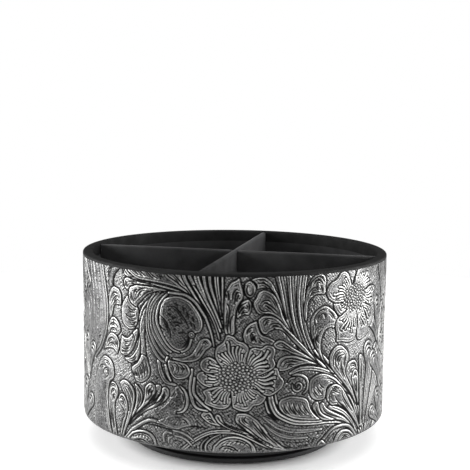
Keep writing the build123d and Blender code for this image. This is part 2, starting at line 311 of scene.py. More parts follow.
def frond(points, widths, arcs=0, lines=0, feather=0.0, firm=1.0):
    """A tapering shape along a curve, round at its head, with arcs behind the head and lines along it."""
    path, passed = smooth_line(points)
    radius = np.interp(passed, np.linspace(0, len(points) - 1, len(widths)), widths) / 2
    place, across, up = window((path - radius[:, None]).min(0), (path + radius[:, None]).max(0))
    outline = np.full(across.shape, math.inf)
    nearest = np.zeros(across.shape, int)
    for k, (x, y) in enumerate(path):
        distance = np.hypot(across - x, up - y) - radius[k]
        closer = distance < outline
        outline[closer] = distance[closer]
        nearest[closer] = k
    tangent = np.gradient(path, axis=0)
    tangent /= np.hypot(tangent[:, 0], tangent[:, 1])[:, None]
    side = tangent[nearest, 0] * (up - path[nearest, 1]) - tangent[nearest, 1] * (across - path[nearest, 0])
    length = np.concatenate(([0], np.cumsum(np.hypot(*np.diff(path, axis=0).T))))
    along = length[nearest]
    share = nearest / (len(path) - 1)
    room = fade(-outline, *mark_margin)
    marks = np.zeros(across.shape)
    tail = length[-1]

    for n in range(arcs):
        back = first_arc + arc_pitch * n
        k = int(np.searchsorted(length, max(length[-1] - back, 0)))
        bow = radius[k] - arc_inset
        if bow < least_arc:
            break
        x = across - path[k, 0]
        y = up - path[k, 1]
        ahead = x * tangent[k, 0] + y * tangent[k, 1]
        taper = fade(ahead, -0.1 * bow, 0.85 * bow)
        line = line_at(np.hypot(x, y) - bow, 0.3 + 0.34 * taper)
        marks = np.maximum(marks, line * fade(taper, 0, 0.25))
        tail = length[-1] - (back + arc_pitch / 2)

    for n in range(lines):
        ratio = (2 * n - lines + 1) / (lines + 1)
        line = line_at(side - ratio * radius[nearest], mark_width) * (fade(share, 0.02, 0.1) * room)
        stop = tail - 1.1 * abs(ratio) * radius[-1] - (0.0 if arcs else 2.2 * (n % 2))
        marks = np.maximum(marks, line * (1 - fade(along, stop - 2.0, stop)))

    if feather:
        phase = (along + 1.7 * np.abs(side) + 0.7 * np.sin(0.9 * along)) / feather
        barbs = np.clip(np.cos(math.tau * phase), 0, 1) * (0.65 + 0.3 * np.sin(1.3 * along + 2 * side))
        shaft = 0.6 * line_at(side, mark_width) * (1 - fade(share, 0.75, 0.95))
        marks = np.maximum(marks, barbs * room * fade(np.abs(side), 0.2, 0.6))
        marks = np.maximum(marks, shaft)
    press(place, outline, firm * marks, firm)


def closed(points):
    """A smooth closed outline: the cells round it, where they lie, and each one's distance outside it."""
    curve, passed = smooth_line(list(points) + list(points[:3]))
    curve = curve[(passed >= 1) & (passed < len(points) + 1)]
    place, across, up = window(curve.min(0), curve.max(0))
    inside = np.zeros(across.shape, bool)
    distance = np.full(across.shape, math.inf)
    for (x1, y1), (x2, y2) in zip(np.roll(curve, 1, axis=0), curve):
        distance = np.minimum(distance, np.hypot(across - x2, up - y2))
        crosses = (y1 > up) != (y2 > up)
        rise = y2 - y1 if abs(y2 - y1) > 1e-9 else 1e-9
        inside ^= crosses & (across < (x2 - x1) * (up - y1) / rise + x1)
    return place, across, up, np.where(inside, -distance, distance)


def stroke(points, width=0.56):
    """A cut with pointed ends, as a swivel knife leaves it."""
    path = smooth_line(points)[0]
    place, across, up = window(path.min(0), path.max(0))
    taper = np.sqrt(np.sin(math.pi * np.linspace(0.04, 0.96, len(path))))
    line = np.zeros(across.shape)
    for (x, y), share in zip(path, taper):
        line = np.maximum(line, line_at(np.hypot(across - x, up - y), width * share))
    cut[place] = np.maximum(cut[place], line)


def hatch(first, last, count, width):
    """A row of like cuts, from the first to the last."""
    first = np.array(first)
    last = np.array(last)
    for share in np.linspace(0, 1, count):
        stroke(first + share * (last - first), width)


echo_pitch = 1.2
echo_width = 0.26


def echo(outline):
    """The two fine lines that follow an edge, just inside it."""
    first = line_at(outline + echo_pitch, echo_width)
    second = line_at(outline + 2 * echo_pitch, echo_width)
    return 0.6 * first + 0.45 * second


companion_gap = 0.95
companion_width = 0.42


def lobe(points, *creases, firm=1.0):
    """A raised leaf lobe with lines inside its edge, and the cuts that crease it, each beside a finer one."""
    place, _, _, outline = closed(points)
    press(place, outline, firm * echo(outline), firm)
    for crease in creases:
        stroke(crease)
        path = smooth_line(crease, 0.8)[0]
        along = np.gradient(path, axis=0)
        aside = np.column_stack((-along[:, 1], along[:, 0])) / np.hypot(along[:, 0], along[:, 1])[:, None]
        trim = len(path) // 5
        stroke((path - companion_gap * aside)[trim : len(path) - trim], companion_width)


def stain(points, depth):
    """Dark wax left in a hollow, which is lightly matted."""
    place, _, _, outline = closed(points)
    cut[place] = np.maximum(cut[place], depth * fade(-outline, 0.2, 2.0))
    ground[place] = np.maximum(ground[place], fade(-outline, 0.5, 2.0))


# Fingers of a rose petal: an angle apart, so that they are 1.24 mm apart 11 mm from the heart
finger_pitch = 1.24 / 11.0
petal_root = 8
petal_dish = 0.12


def petal(points, heart, border=4.1):
    """A rose petal with a plain rolled edge, and round-ended fingers that run out from the heart."""
    place, across, up, outline = closed(points)
    x = across - heart[0]
    y = up - heart[1]
    reach = np.hypot(x, y)
    corners = np.array(points) - heart
    far = corners[np.hypot(corners[:, 0], corners[:, 1]) > petal_root]
    middle = math.atan2(*far.mean(0)[::-1])

    def swing_from(rise, run):
        """An angle about the heart, from the petal's middle."""
        return (np.arctan2(rise, run) - middle + math.pi) % math.tau - math.pi

    sway = 0.035 * np.sin(0.7 * reach + 5 * middle)
    swing = (swing_from(y, x) + sway) * (1 - 0.035 * (reach - 9))
    finger = np.round(swing / finger_pitch)
    lateral = np.abs(swing / finger_pitch - finger) * finger_pitch * reach
    half = 0.24 * finger_pitch * np.minimum(reach, 14)
    far_swing = swing_from(far[:, 1], far[:, 0])
    order = np.argsort(far_swing)
    rim = np.interp(finger * finger_pitch, far_swing[order], np.hypot(far[:, 0], far[:, 1])[order])
    stop = rim - border - 1.4 * np.cos(2.4 * finger + 4 * middle)
    edge = np.hypot(lateral, np.maximum(reach + half - stop, 0)) - half
    marks = line_at(np.maximum(edge - 0.4, 0), 0.24) * fade(edge, -0.15, 0.2) * fade(-outline, 0.5, 1.3)
    press(place, outline, np.maximum(marks, echo(outline) * fade(reach, 9, 12)))
    relief[place] -= petal_dish * (fade(-outline, 1.2, 4.0) * (outline < 0))


golden_angle = 2.399963
seed_floor = -0.36
knop_height = 0.34
knop_radius = 0.43
gap_radius = 0.82
gap_width = 0.26


def seeds(heart, half_width, half_height, count):
    """The seeded middle of a rose: round knops, closely set, in a sunflower's order."""
    half = np.array((half_width, half_height))
    place, across, up = window(heart - half, heart + half)
    x = across - heart[0]
    y = up - heart[1]
    soft = 1 - fade(np.hypot(x / half_width, y / half_height), 0.86, 1.04)
    relief[place] = relief[place] * (1 - soft) + seed_floor * soft
    cut[place] *= 1 - soft
    for n in range(count):
        out = math.sqrt((n + 0.15) / count)
        turn = n * golden_angle
        distance = np.hypot(x - half_width * out * math.cos(turn), y - half_height * out * math.sin(turn))
        knop = np.exp(-((distance / knop_radius) ** 4))
        relief[place] = np.maximum(relief[place], seed_floor + knop_height * knop)
        gap = line_at(distance - gap_radius, gap_width)
        cut[place] = np.maximum(cut[place] * (1 - knop), 0.8 * gap)


def rose(heart, mirror=1):
    """A wild rose with seven overlapping petals."""
    outlines = (
        ((-3, 3), (-9, 3.4), (-14, 3), (-18, 2.2), (-19.4, -0.4), (-17.6, -3), (-14.5, -4.8),
         (-9.5, -5.2), (-2, -3)),
        ((-5, 3), (-10.5, 2), (-14.4, 1.8), (-17.2, 3.6), (-17.6, 6.4), (-16, 8.8), (-13.2, 9.8),
         (-10, 8.2), (-6, 4.6)),
        ((2, 3), (9, 2.2), (18.2, 4.6), (20.6, 0.6), (22.6, -2.2), (21.8, -5.2), (19.6, -7.2), (17, -8.7),
         (14, -9), (6, -6)),
        ((0, -3), (-2.8, -12.3), (-4.8, -14.8), (-8, -15.4), (-11.8, -14.5), (-15.4, -12.8), (-15, -9.8),
         (-16.2, -6.8), (-11, -4.6)),
        ((-2, -2), (9, -5.8), (11.6, -7.8), (13.8, -9.4), (12.8, -11.8), (10.6, -13.4), (8, -13.8),
         (6.2, -15.8), (3.2, -16.4), (-0.8, -15.2), (-2.4, -12.8)),
        ((1, -1), (4.2, 9.2), (5.8, 13.6), (8.2, 14.6), (11.2, 14.2), (13.7, 15.6), (16.8, 14.8),
         (18.2, 12.2), (17.4, 8.8), (18.2, 6.2), (16.6, 3.6), (10, 0.8)),
        ((-1, -1), (-6.8, 4.2), (-10.4, 9.2), (-10, 14.2), (-6.8, 17.2), (-5.2, 20.4), (-1.8, 19.8),
         (0.4, 17.8), (3.2, 16.8), (5.4, 14.2), (4.6, 10.2), (3.2, 4.2)),
    )
    for outline in outlines:
        petal([(heart[0] + mirror * x, heart[1] + y) for x, y in outline], heart)
    seeds(heart, 9.7, 7.3, 78)


def spray(across0, up0, bearing, size, count):
    """A fan of fronds from one point, for the sides that the scroll does not reach."""
    for k in range(count):
        lean = k - (count - 1) / 2
        out = math.radians(bearing + 24 * lean)
        bend = math.radians(bearing + 38 * lean)
        reach = size * (1 - 0.1 * abs(lean))
        near = (across0 + 0.22 * reach * math.cos(out), up0 + 0.22 * reach * math.sin(out))
        half = (across0 + 0.5 * reach * math.cos(out), up0 + 0.5 * reach * math.sin(out))
        tip = (half[0] + 0.5 * reach * math.cos(bend), half[1] + 0.5 * reach * math.sin(bend))
        frond([(across0, up0), near, half, tip], (1.6, 3.4, 0.24 * size, 0.36 * size), arcs=2, lines=1)


# Long stems that sweep from the rim down to the right
stems_left = np.array(
    ((17, 89), (20.5, 80), (22.4, 73), (24, 66), (26.4, 60), (30.8, 50.4), (35, 45.6), (38.6, 43)),
)
stems_right = np.array(
    ((36.6, 89), (34.6, 78), (34.2, 70), (35, 62), (37, 55), (40, 49), (42.4, 45), (43.4, 43)),
)
for k in range(6):
    share = (k + 0.5) / 6
    frond(stems_left * (1 - share) + stems_right * share, (3, 2.6, 2.2, 1.9, 1.7, 1.5, 1.3, 1), lines=k % 2)
frond([(38, 46), (46, 39.5), (58, 28.5), (68, 16), (74, -2)], (1.6, 1.8, 2, 2, 2))
frond([(40, 48), (48, 39.8), (59, 29.4), (69, 17), (76, -2)], (1.6, 1.8, 2, 2, 2))
frond([(42, 48), (49.8, 40), (60.4, 30.4), (70, 18), (78, -2)], (1.6, 1.8, 2, 2, 2))

# Stems along the bottom
frond([(58, 29.6), (50, 35.6), (41, 39), (33, 39.8), (27.4, 38)], (1.4, 2.2, 2.4, 2.4, 1.8), lines=1)
frond(
    [(17.4, 30), (18.4, 24), (21, 19), (25.4, 16), (31, 13.8), (41, 12.6), (51, 11.8), (60, 9), (73, -2)],
    (3, 3, 2.8, 2.4, 2.2), lines=1,
)
frond([(50, 18.6), (55, 16.4), (60, 13.6), (65, 9), (69, 4)], (3, 3.8, 3.4, 3, 2), lines=2)
frond([(-12.4, -1), (-12.9, 3), (-11.8, 5.4), (-9.4, 7.6), (-5.6, 9.4)], (1.4, 1.3, 1.2, 1))
frond([(-14.6, -1), (-15, 3), (-13.9, 5.4), (-11.6, 7.6)], (1.3, 1.2, 1.1, 1))
frond(
    [(-27, -2), (-22.8, 2), (-18, 6), (-13.2, 9), (-9, 10.4), (-2.7, 10.8), (3, 10), (8.6, 7.6),
     (15, 4.2), (24, 0.4), (31, -2)],
    (2.4, 2.2, 2.2, 2.2), lines=1,
)
frond(
    [(-63, -2), (-57.4, 0.8), (-52.9, 5.9), (-49.5, 8.4), (-43.5, 12.2), (-39.6, 13), (-34, 12.2),
     (-28, 12)],
    (2, 2.4, 2.4, 2.2, 2, 1.8, 1.4),
)
stroke(((-45, 10.4), (-38, 10.6), (-31, 9.8), (-26, 10.2)))
stroke(((-25, 10.6), (-22.7, 12), (-18.4, 12.6), (-12, 12.2)))
lobe(
    ((-37, 13.4), (-33, 15.6), (-29, 17.4), (-25, 17.6), (-22, 16.4), (-20.4, 14.6), (-20, 12.8),
     (-24, 11.4), (-26.4, 10.2), (-31, 10.6), (-35, 11.8)),
    ((-24.6, 15.8), (-22.6, 14.8), (-21.8, 13.4)),
    firm=0.6,
)
for k in range(12):
    across0 = -49 + 2.1 * k
    up0 = 14 + 0.9 * math.sin(2.2 * k)
    stroke(((across0, up0 - 1), (across0 + 0.9, up0), (across0 + 1.3, up0 + 1.3)), 0.34)

frond([(14.9, 28), (15.7, 23), (17.2, 19.4), (20.4, 16.4)], (1.2, 1.4, 1.4, 1))
frond([(20, 29.6), (20.6, 25.4), (22.2, 21.4)], (1.2, 1.4, 1))
hatch(((27, 11.4), (28.4, 9.6), (28.2, 8)), ((41.4, 9.6), (42.8, 7.8), (42.6, 6.2)), 7, 0.3)
hatch(((26, 6.6), (27.6, 5.8), (28.4, 4.2)), ((40.4, 5.4), (42, 4.6), (42.8, 3)), 7, 0.3)
stroke(((22, 3.4), (29, 1.6), (37, 1.4)))
stroke(((30, 12.2), (37, 11.4), (45, 11.2)), 0.34)

# Blades that sweep from the rim over the scroll and into the main rose
lobe(
    ((-61.4, 89), (-59.9, 85.5), (-59.2, 83.6), (-58.3, 82.2), (-56.9, 81.1), (-55.2, 80.7),
     (-51.6, 81.4), (-53.5, 82.4), (-55.9, 84.2), (-57.4, 89)),
    ((-58.7, 87), (-57.7, 84), (-56.2, 82.4)),
)
lobe(
    ((-57.4, 88), (-55.9, 84.2), (-53.5, 82.4), (-51.6, 81.4), (-50, 80.7), (-46.8, 80.2), (-43.4, 80.1),
     (-40, 79.9), (-35, 79.5), (-30.3, 78.8), (-25.7, 77.5), (-21, 75.2), (-22.6, 77.2), (-25, 78.9),
     (-27.2, 80.6), (-30, 82.3), (-32.4, 83.8), (-36, 88)),
    ((-52.6, 87.4), (-50.2, 85), (-48.4, 83.8), (-46.8, 83)),
    ((-50.2, 87), (-47.7, 84.6), (-46, 83.4), (-44.2, 82.6)),
    ((-44.4, 86.8), (-41.5, 84.1), (-39.4, 82.6), (-37, 81.8)),
)
lobe(
    ((-36.4, 89), (-32.4, 84), (-30, 82.4), (-27.2, 80.7), (-25, 79), (-22.6, 77.3), (-20.2, 74.6),
     (-21, 77.8), (-22.6, 80.8), (-24.6, 84), (-27, 89)),
    ((-30.6, 86), (-27, 82.6), (-24, 79.6)),
)
frond(
    [(-50, 79.3), (-44, 79), (-38, 78.6), (-32, 77.8), (-26, 76.5), (-21, 74.2)],
    (1.2, 1.3, 1.3, 1.3, 1.2, 1),
)
frond(
    [(-25.6, 89), (-23.6, 83), (-21.8, 79.8), (-19.6, 76.4), (-16.8, 72), (-14.2, 67.8), (-12.6, 64.2),
     (-11.3, 60.5), (-10.3, 57), (-9.6, 53.6)],
    (2.4, 2, 1.6, 1.4, 1.3, 1.2),
)
frond(
    [(-22, 89), (-21.3, 84.5), (-19.7, 81.3), (-17.8, 78), (-15.4, 74), (-12.9, 70), (-10.7, 66.2),
     (-8.9, 62.2), (-7.6, 58.2), (-6.8, 55)],
    (2.4, 2.2, 2, 1.8, 1.6, 1.4, 1.2),
)
frond(
    [(-18.6, 89), (-17.8, 84), (-16.4, 80), (-14.4, 76), (-11.9, 71.4), (-9.6, 67.2), (-7.8, 63),
     (-6.4, 58.6)],
    (3, 3, 2.8, 2.4, 2, 1.5), feather=1.7,
)
frond(
    [(-14.7, 89), (-14.2, 84), (-13.3, 79), (-11.5, 74), (-9.5, 69.5), (-7.4, 64.6), (-5.9, 60.6)],
    (2.4, 2.1, 1.9, 1.7, 1.3),
)
frond(
    [(-11.6, 89), (-11.5, 84), (-10.8, 79), (-9.2, 74), (-7.5, 69), (-6, 64.6)],
    (2.4, 2.1, 1.9, 1.5, 1.1),
)
frond([(-8.5, 89), (-8.3, 82), (-7.5, 76), (-6.5, 70), (-5.7, 65)], (2.8, 2.6, 2.2, 1.8, 1.2), lines=1)
frond([(-5.6, 89), (-5.5, 80), (-5.5, 72), (-5.2, 66)], (1.7, 1.5, 1.2, 1))
stroke(((-20, 79.8), (-19, 79.9), (-17.4, 78.2), (-15.4, 74.8)))
stroke(((-19, 78.4), (-17.6, 76.4), (-16, 73.8)), 0.3)

# Buds and leaves above the main rose
lobe(
    ((7.6, 82.9), (9.1, 84), (11.6, 84.5), (14.4, 84.3), (16.5, 82.9), (18.3, 80.7), (19.6, 78),
     (21.4, 74.4), (23.4, 69), (25, 64), (22, 70), (19.4, 75.6), (17, 78.4), (14.6, 79.2), (12.6, 79.1),
     (10.6, 78.6), (10.4, 80.6), (9, 82.2)),
    ((10.8, 81.4), (13.6, 81.4), (16, 80), (18, 77.6)),
    ((11.6, 83), (13.8, 83), (15.6, 82)),
)
lobe(
    ((-4.3, 58), (-4.7, 62.6), (-4.9, 66.2), (-4.7, 71.6), (-4.3, 76.3), (-3.2, 79.5), (-1.6, 81.8),
     (0.5, 83), (2.3, 84.2), (3, 82.2), (3.7, 79.3), (4.4, 76.1), (4, 74.2), (3, 72.8), (1.9, 71),
     (1, 68.5), (0.7, 65.6), (0.5, 62.7), (0.6, 58), (-2, 56.6)),
    ((-0.7, 73.4), (-0.5, 76.1), (0.2, 77.7), (1.2, 78.6), (2.2, 78)),
    ((0.2, 71.6), (0.4, 74.6), (1.1, 76.4), (2, 77.1), (2.7, 76.8)),
    ((1.1, 72.8), (1.6, 74.9), (2.4, 75.6)),
    ((-3.5, 72.2), (-2.5, 70.6), (-2.1, 68), (-2.5, 64.8), (-2.9, 60.8), (-2.7, 57.6)),
    ((0, 66.6), (-1.2, 65.5), (-1.7, 63.3), (-1.7, 60.8), (-1.5, 57.8)),
    ((-3.2, 78), (-2.6, 75.4), (-2.8, 73.4)),
)
lobe(
    ((6.9, 82.8), (8.4, 82.2), (9.5, 80.8), (10.3, 79), (9.8, 77), (8.7, 75.2), (7.3, 74.3), (5.9, 75),
     (4.6, 77), (4.5, 79.6), (5.2, 81.8)),
    ((7.3, 80.6), (6.3, 80.2), (5.7, 78.5), (6.3, 76.4), (7.6, 75.8), (8.7, 77), (8.5, 79.2)),
)
lobe(
    ((1.1, 66.2), (1.2, 68.4), (2.3, 70.6), (3.7, 72.8), (5.5, 73.9), (6.9, 73.9), (8, 72.4), (8.2, 69.9),
     (7.6, 67.7), (6.9, 66.6), (5, 66.6), (3.2, 66), (1.6, 64.8)),
    ((1.9, 67.4), (2.3, 69.5), (3.7, 71.3), (5.4, 72.2)),
    ((1.9, 66.4), (3, 68.4), (4.4, 69.8), (5.8, 69.9)),
    ((3.3, 66.7), (4.4, 67.7), (6.1, 68)),
    ((6.7, 72.6), (7.2, 70.4), (6.8, 68.4)),
)
hatch(((2.2, 60.4), (3.1, 62.4), (4.4, 64)), ((6.1, 62.5), (7, 64.2), (8.3, 65.5)), 4, 0.26)
lobe(
    ((10.8, 76.4), (11.5, 77.4), (13, 78.2), (14.7, 78.3), (16.9, 77.4), (19.1, 75.5), (20.9, 72.6),
     (22.2, 69.3), (23.4, 65.6), (26, 61), (30, 55), (37, 47.5), (30, 54), (25, 60), (22, 63.6),
     (19.1, 65.8), (17.3, 66.7), (15.5, 67), (13.3, 66.7), (11.5, 67), (10.1, 68.5), (9, 70.7),
     (8.9, 72.8), (10.1, 74.6)),
    ((12.4, 71.8), (13.7, 73.1), (15.5, 73.4), (17.2, 72.6)),
    ((13.1, 70.6), (14, 72), (15.1, 72), (16.9, 70.9), (18.7, 69.5), (20.4, 67.8)),
    ((14.2, 70.2), (15, 70.8), (15.9, 69.9), (17.6, 68.8), (19.5, 67)),
    ((11.6, 70.4), (12.4, 69), (14, 68.2), (16, 68.2)),
    ((17.6, 75), (19.4, 72.6), (20.9, 69)),
)
lobe(
    ((4.2, 55.9), (4.2, 57.7), (5.1, 60.2), (6.9, 62.3), (8.7, 63.2), (10.6, 63.8), (11.2, 61.4),
     (12.2, 58.6), (13.6, 57), (16.4, 56), (20, 53.2), (17, 50), (11, 50), (6, 52)),
    ((8.5, 53.6), (8.1, 55.5), (8, 57.3), (8.7, 58.3), (10.3, 58)),
    ((9.9, 57), (9.7, 55.2), (10.6, 53.8)),
    ((11.9, 56), (12.8, 54.4), (14.8, 53.4)),
    ((6, 57.4), (6.8, 59.6), (8.4, 61)),
)
lobe(
    ((11.2, 64.1), (11.6, 61.6), (12.5, 59), (13.7, 57.6), (15.5, 57.4), (16.9, 58.7), (19.1, 59.4),
     (21.7, 59.2), (23.9, 57.9), (26.5, 55.3), (28.4, 53.2), (34, 48), (42, 42), (36.4, 48.6),
     (30.6, 54.6), (25, 60.2), (22.6, 62.8), (20.4, 64.8), (18.4, 65.9), (16.6, 66.2), (14.4, 66.3),
     (12.6, 65.6)),
    ((13.5, 62.4), (14.4, 64), (16.2, 64.8), (18.2, 64.4)),
    ((14.4, 61.4), (15.2, 62.8), (16.6, 63)),
    ((16.4, 60.4), (17.3, 61.9), (19.1, 62.4), (21.3, 62), (23.4, 60.4)),
    ((17.6, 60.2), (18.8, 61), (21, 60.7)),
    ((22, 60.8), (25, 58.2), (29, 54.2)),
)
lobe(
    ((18.6, 52.4), (21, 54.4), (23.6, 54), (26.4, 52), (30, 49.6), (36, 46), (43, 41), (36, 44.4),
     (30, 46.6), (25, 48.8), (20.4, 50.2)),
    ((20, 52), (22.4, 53), (25, 51.6), (28, 49.4)),
    ((22, 50.8), (25, 50.2), (29, 48)),
)
lobe(
    ((20.4, 41), (20.6, 43.2), (22, 45.6), (25, 46.8), (30, 46.4), (36, 44), (43, 40.6), (36, 41.8),
     (30, 41), (25, 39.4), (21.6, 39.4)),
    ((21.9, 41.4), (23.2, 44), (26, 45.2), (30, 44.6), (34, 43.4)),
    ((23.6, 41.2), (25, 43.2), (28, 43.6), (31, 43.2)),
    ((25.4, 41), (27, 42.2), (29.6, 42.2)),
)

# Leaves right of the main rose
frond(
    [(28.4, 37), (31, 37.2), (33.8, 36.4), (36, 34.6), (36.8, 32), (36.2, 29.2), (34.2, 27.4)],
    (1, 1.5, 1.7, 1.8, 1.7, 1.4, 1),
)
frond(
    [(28.4, 32.6), (29, 30.2), (31, 29), (33, 29.8), (33.4, 31.6), (32, 33), (30.6, 32.4), (30.8, 31.2)],
    (1, 1.2, 1.3, 1.3, 1.3, 1.1, 1),
)
frond([(26.4, 34), (27.6, 35.4), (29.8, 35.6)], (1, 1.2, 1))
lobe(
    ((25, 26.7), (27.7, 27.2), (31.8, 26.5), (35.5, 25.4), (37.3, 23.5), (38.6, 19.9), (40.5, 17.2),
     (43.2, 14.9), (47, 13.6), (42, 13.6), (35, 14.6), (29, 16), (25, 18.2), (22.4, 20.8), (21.6, 23.6),
     (22.7, 25.8)),
    ((24, 23.6), (25.2, 20.6), (27.4, 18.4)),
    ((26.4, 24.4), (28, 20.6), (30.6, 17.6)),
    ((28.8, 24.2), (30.2, 20.6), (33.2, 17)),
    ((31.4, 23.2), (33.2, 19.6), (36.2, 16.8)),
    ((33.8, 23), (35.6, 20.1), (38.2, 17)),
)
frond(
    [(14.4, 17.6), (17.4, 15.6), (21.6, 12.6), (28, 10.2), (36, 9.2), (45, 8.8)],
    (1.2, 2.4, 2.8, 2.8, 2.4, 1.6), feather=1.7, firm=0.7,
)
frond(
    [(15, 14.2), (18.4, 11.2), (23, 8.4), (29, 6.6), (37, 5.8)],
    (1, 1.8, 2.2, 2, 1.2), feather=1.5, firm=0.7,
)
hatch(((15.4, 18.8), (18, 17.4), (20.4, 15.2)), ((16.4, 19.6), (19.4, 17.8), (22.2, 15.2)), 3, 0.4)
lobe(
    ((0.9, 16.7), (1.1, 18.5), (1.8, 19.7), (4.5, 20), (7.3, 19.5), (9.5, 18.1), (11.8, 16.3), (13.6, 14),
     (15, 12.6), (18.2, 8.1), (20.9, 5.4), (26, 1.6), (32, -1), (30, -2), (23.6, 0.8), (18.2, 2.4),
     (13.6, 5.2), (10, 7.8), (8.2, 9.8), (5.9, 11.5), (3.6, 13), (1.8, 14.8)),
    ((6.2, 18.2), (5.2, 17), (6, 15.6), (7.4, 14.7)),
    ((9.1, 16.3), (10, 14.5), (11.8, 12.2), (14.1, 9.5), (16.8, 6.3)),
    ((11.8, 14.7), (13.6, 11.6), (15.7, 9), (19, 5.6)),
    ((3, 17.6), (3.2, 15.6), (5.4, 13.6), (8.4, 11.6)),
    ((7.4, 12.6), (10.6, 9.4), (14.6, 6.4), (19, 4)),
    ((16.4, 9.6), (19.4, 6.8), (23.4, 3.6)),
)
hatch(((10.6, 9.4), (12.2, 8), (11.6, 6.6)), ((17.8, 4.6), (19.4, 3.2), (18.8, 1.8)), 5, 0.34)

# Leaves below and left of the main rose
lobe(
    ((-15.4, 18.1), (-14.3, 19.8), (-12.3, 20.6), (-10, 19.4), (-8.6, 17), (-6.8, 15), (-3, 13),
     (-7.7, 13.4), (-11.4, 14.5), (-13.8, 16.2)),
    ((-13.6, 17.6), (-11.8, 18.6), (-10, 17)),
    ((-12.4, 16.2), (-10.6, 16.4), (-8.6, 15)),
)
lobe(
    ((-8.6, 18.1), (-7.7, 19.2), (-5.9, 18.7), (-5, 16.9), (-4, 15.1), (-1.8, 13.7), (1.8, 12.4),
     (5.5, 11), (8.4, 9.5), (6.8, 9.3), (1.4, 10.8), (-3.2, 12.4), (-6.6, 14.5), (-8.4, 16.8)),
    ((-7, 17.6), (-5.6, 15.4), (-2.4, 13.2), (1.6, 11.7), (5, 10.4)),
)
frond([(-19.6, 40), (-20.4, 31.2), (-19.4, 25), (-17.1, 21.6), (-12, 20.4)], (1.6, 2.4, 2.2, 1.8, 1.2))
frond([(-18.4, 36), (-18.8, 29.4), (-16.8, 26), (-14, 23.4), (-10.5, 21)], (1.6, 2, 2, 1.8, 1.4))
lobe(
    ((-25.5, 31.8), (-23.2, 29.8), (-21.9, 27.3), (-21.2, 24.3), (-21.8, 21.7), (-23.2, 19.7),
     (-25.5, 18.3), (-28.6, 18.3), (-32, 18.6), (-37, 18), (-34, 21), (-31.4, 23.6), (-30, 27),
     (-28.4, 30)),
    ((-25.2, 30.2), (-23.6, 28.2), (-22.8, 25.2), (-23.4, 21.8)),
    ((-30, 25.6), (-28.8, 27.4), (-28, 29.2)),
    ((-30, 22), (-28.6, 23.6)),
    ((-28, 20), (-26, 20.4)),
    firm=0.45,
)
frond(
    [(-25.6, 31.6), (-23.4, 29.6), (-22.2, 27), (-21.8, 24.2), (-22.4, 21.4), (-24.2, 19.2), (-27, 18.2)],
    (1, 1.6, 1.9, 2, 1.8, 1.5, 1),
)
frond([(-37, 42.4), (-35.6, 37), (-33, 33), (-28, 31.8)], (2, 2.6, 2.4, 1.6))
frond([(-33.4, 41.6), (-32.2, 37), (-30.4, 33.6)], (1.6, 2, 1.4))
lobe(
    ((-32, 43.4), (-29, 43.4), (-25, 43), (-22.5, 42.3), (-21, 40.8), (-20.3, 38.6), (-20.9, 36.9),
     (-22.5, 35.5), (-24.8, 34.7), (-27.4, 34.5), (-29.6, 35.8), (-31.4, 39)),
    ((-28.6, 42.6), (-26.8, 41.2), (-26.2, 39.2), (-27, 37.4)),
    ((-26.6, 42.4), (-24.7, 41.2), (-24, 39.6), (-24.6, 37.8)),
    ((-24, 42), (-22.4, 40.4), (-22, 38.4)),
    ((-30, 41.6), (-29, 39.8), (-29.4, 37.8)),
)
frond([(-33.8, 3.4), (-34, 6.4), (-32.2, 8.4), (-30, 8)], (1.2, 1.8, 1.8, 1.2), firm=0.7)
frond([(-31.4, 3), (-31.2, 5.4), (-29.6, 6.4)], (1, 1.6, 1.1), firm=0.7)
frond([(-29, 9.4), (-25.4, 9.2), (-21.8, 7.8), (-18.8, 5.6)], (1, 1.6, 1.6, 1), firm=0.7)
frond([(-28.2, 7), (-25, 6.8), (-22, 5.4), (-19.6, 3.2)], (1, 1.6, 1.6, 1), firm=0.7)
lobe(
    ((-35, 29.4), (-33.2, 30.4), (-31.4, 29.4), (-31, 26.7), (-32.4, 24.3), (-35, 21.8), (-39.1, 19.3),
     (-43.5, 17.2), (-47.5, 14.3), (-51.7, 10.7), (-54.4, 8.2), (-49, 14), (-44.4, 17.8), (-40, 20.8),
     (-37, 24.4), (-35.4, 27)),
    ((-41, 20), (-36, 23.2), (-33, 27.4)),
    ((-37, 22.6), (-34.6, 25), (-33.4, 28)),
    ((-35.2, 25), (-34, 26.8)),
)
lobe(
    ((-38.6, 30.2), (-36.6, 31.2), (-35.2, 30), (-35.7, 27.6), (-36.8, 25.4), (-39.6, 22.7),
     (-43.5, 19.6), (-46.5, 17.4), (-52, 12.4), (-55, 9.4), (-50, 14.6), (-44, 19.6), (-40.6, 23.6),
     (-38.8, 27)),
    ((-43, 21), (-39, 24.4), (-37, 29)),
)
lobe(
    ((-44.9, 25), (-44.7, 28.3), (-43.4, 30.2), (-41.3, 31.4), (-39.6, 31), (-38.4, 29.4), (-38.4, 27.4),
     (-39.4, 25.2), (-41.3, 22.8), (-43.5, 20.4), (-48, 16.4), (-54, 10.6), (-56.4, 8), (-52, 14),
     (-47.4, 19), (-45.6, 22)),
    ((-43.7, 24.2), (-43.4, 27.6), (-41.8, 29.9)),
    ((-42.4, 25), (-41.6, 27.6), (-40.4, 29.2)),
    ((-44.6, 21.4), (-41.4, 24.6), (-39.8, 28)),
)

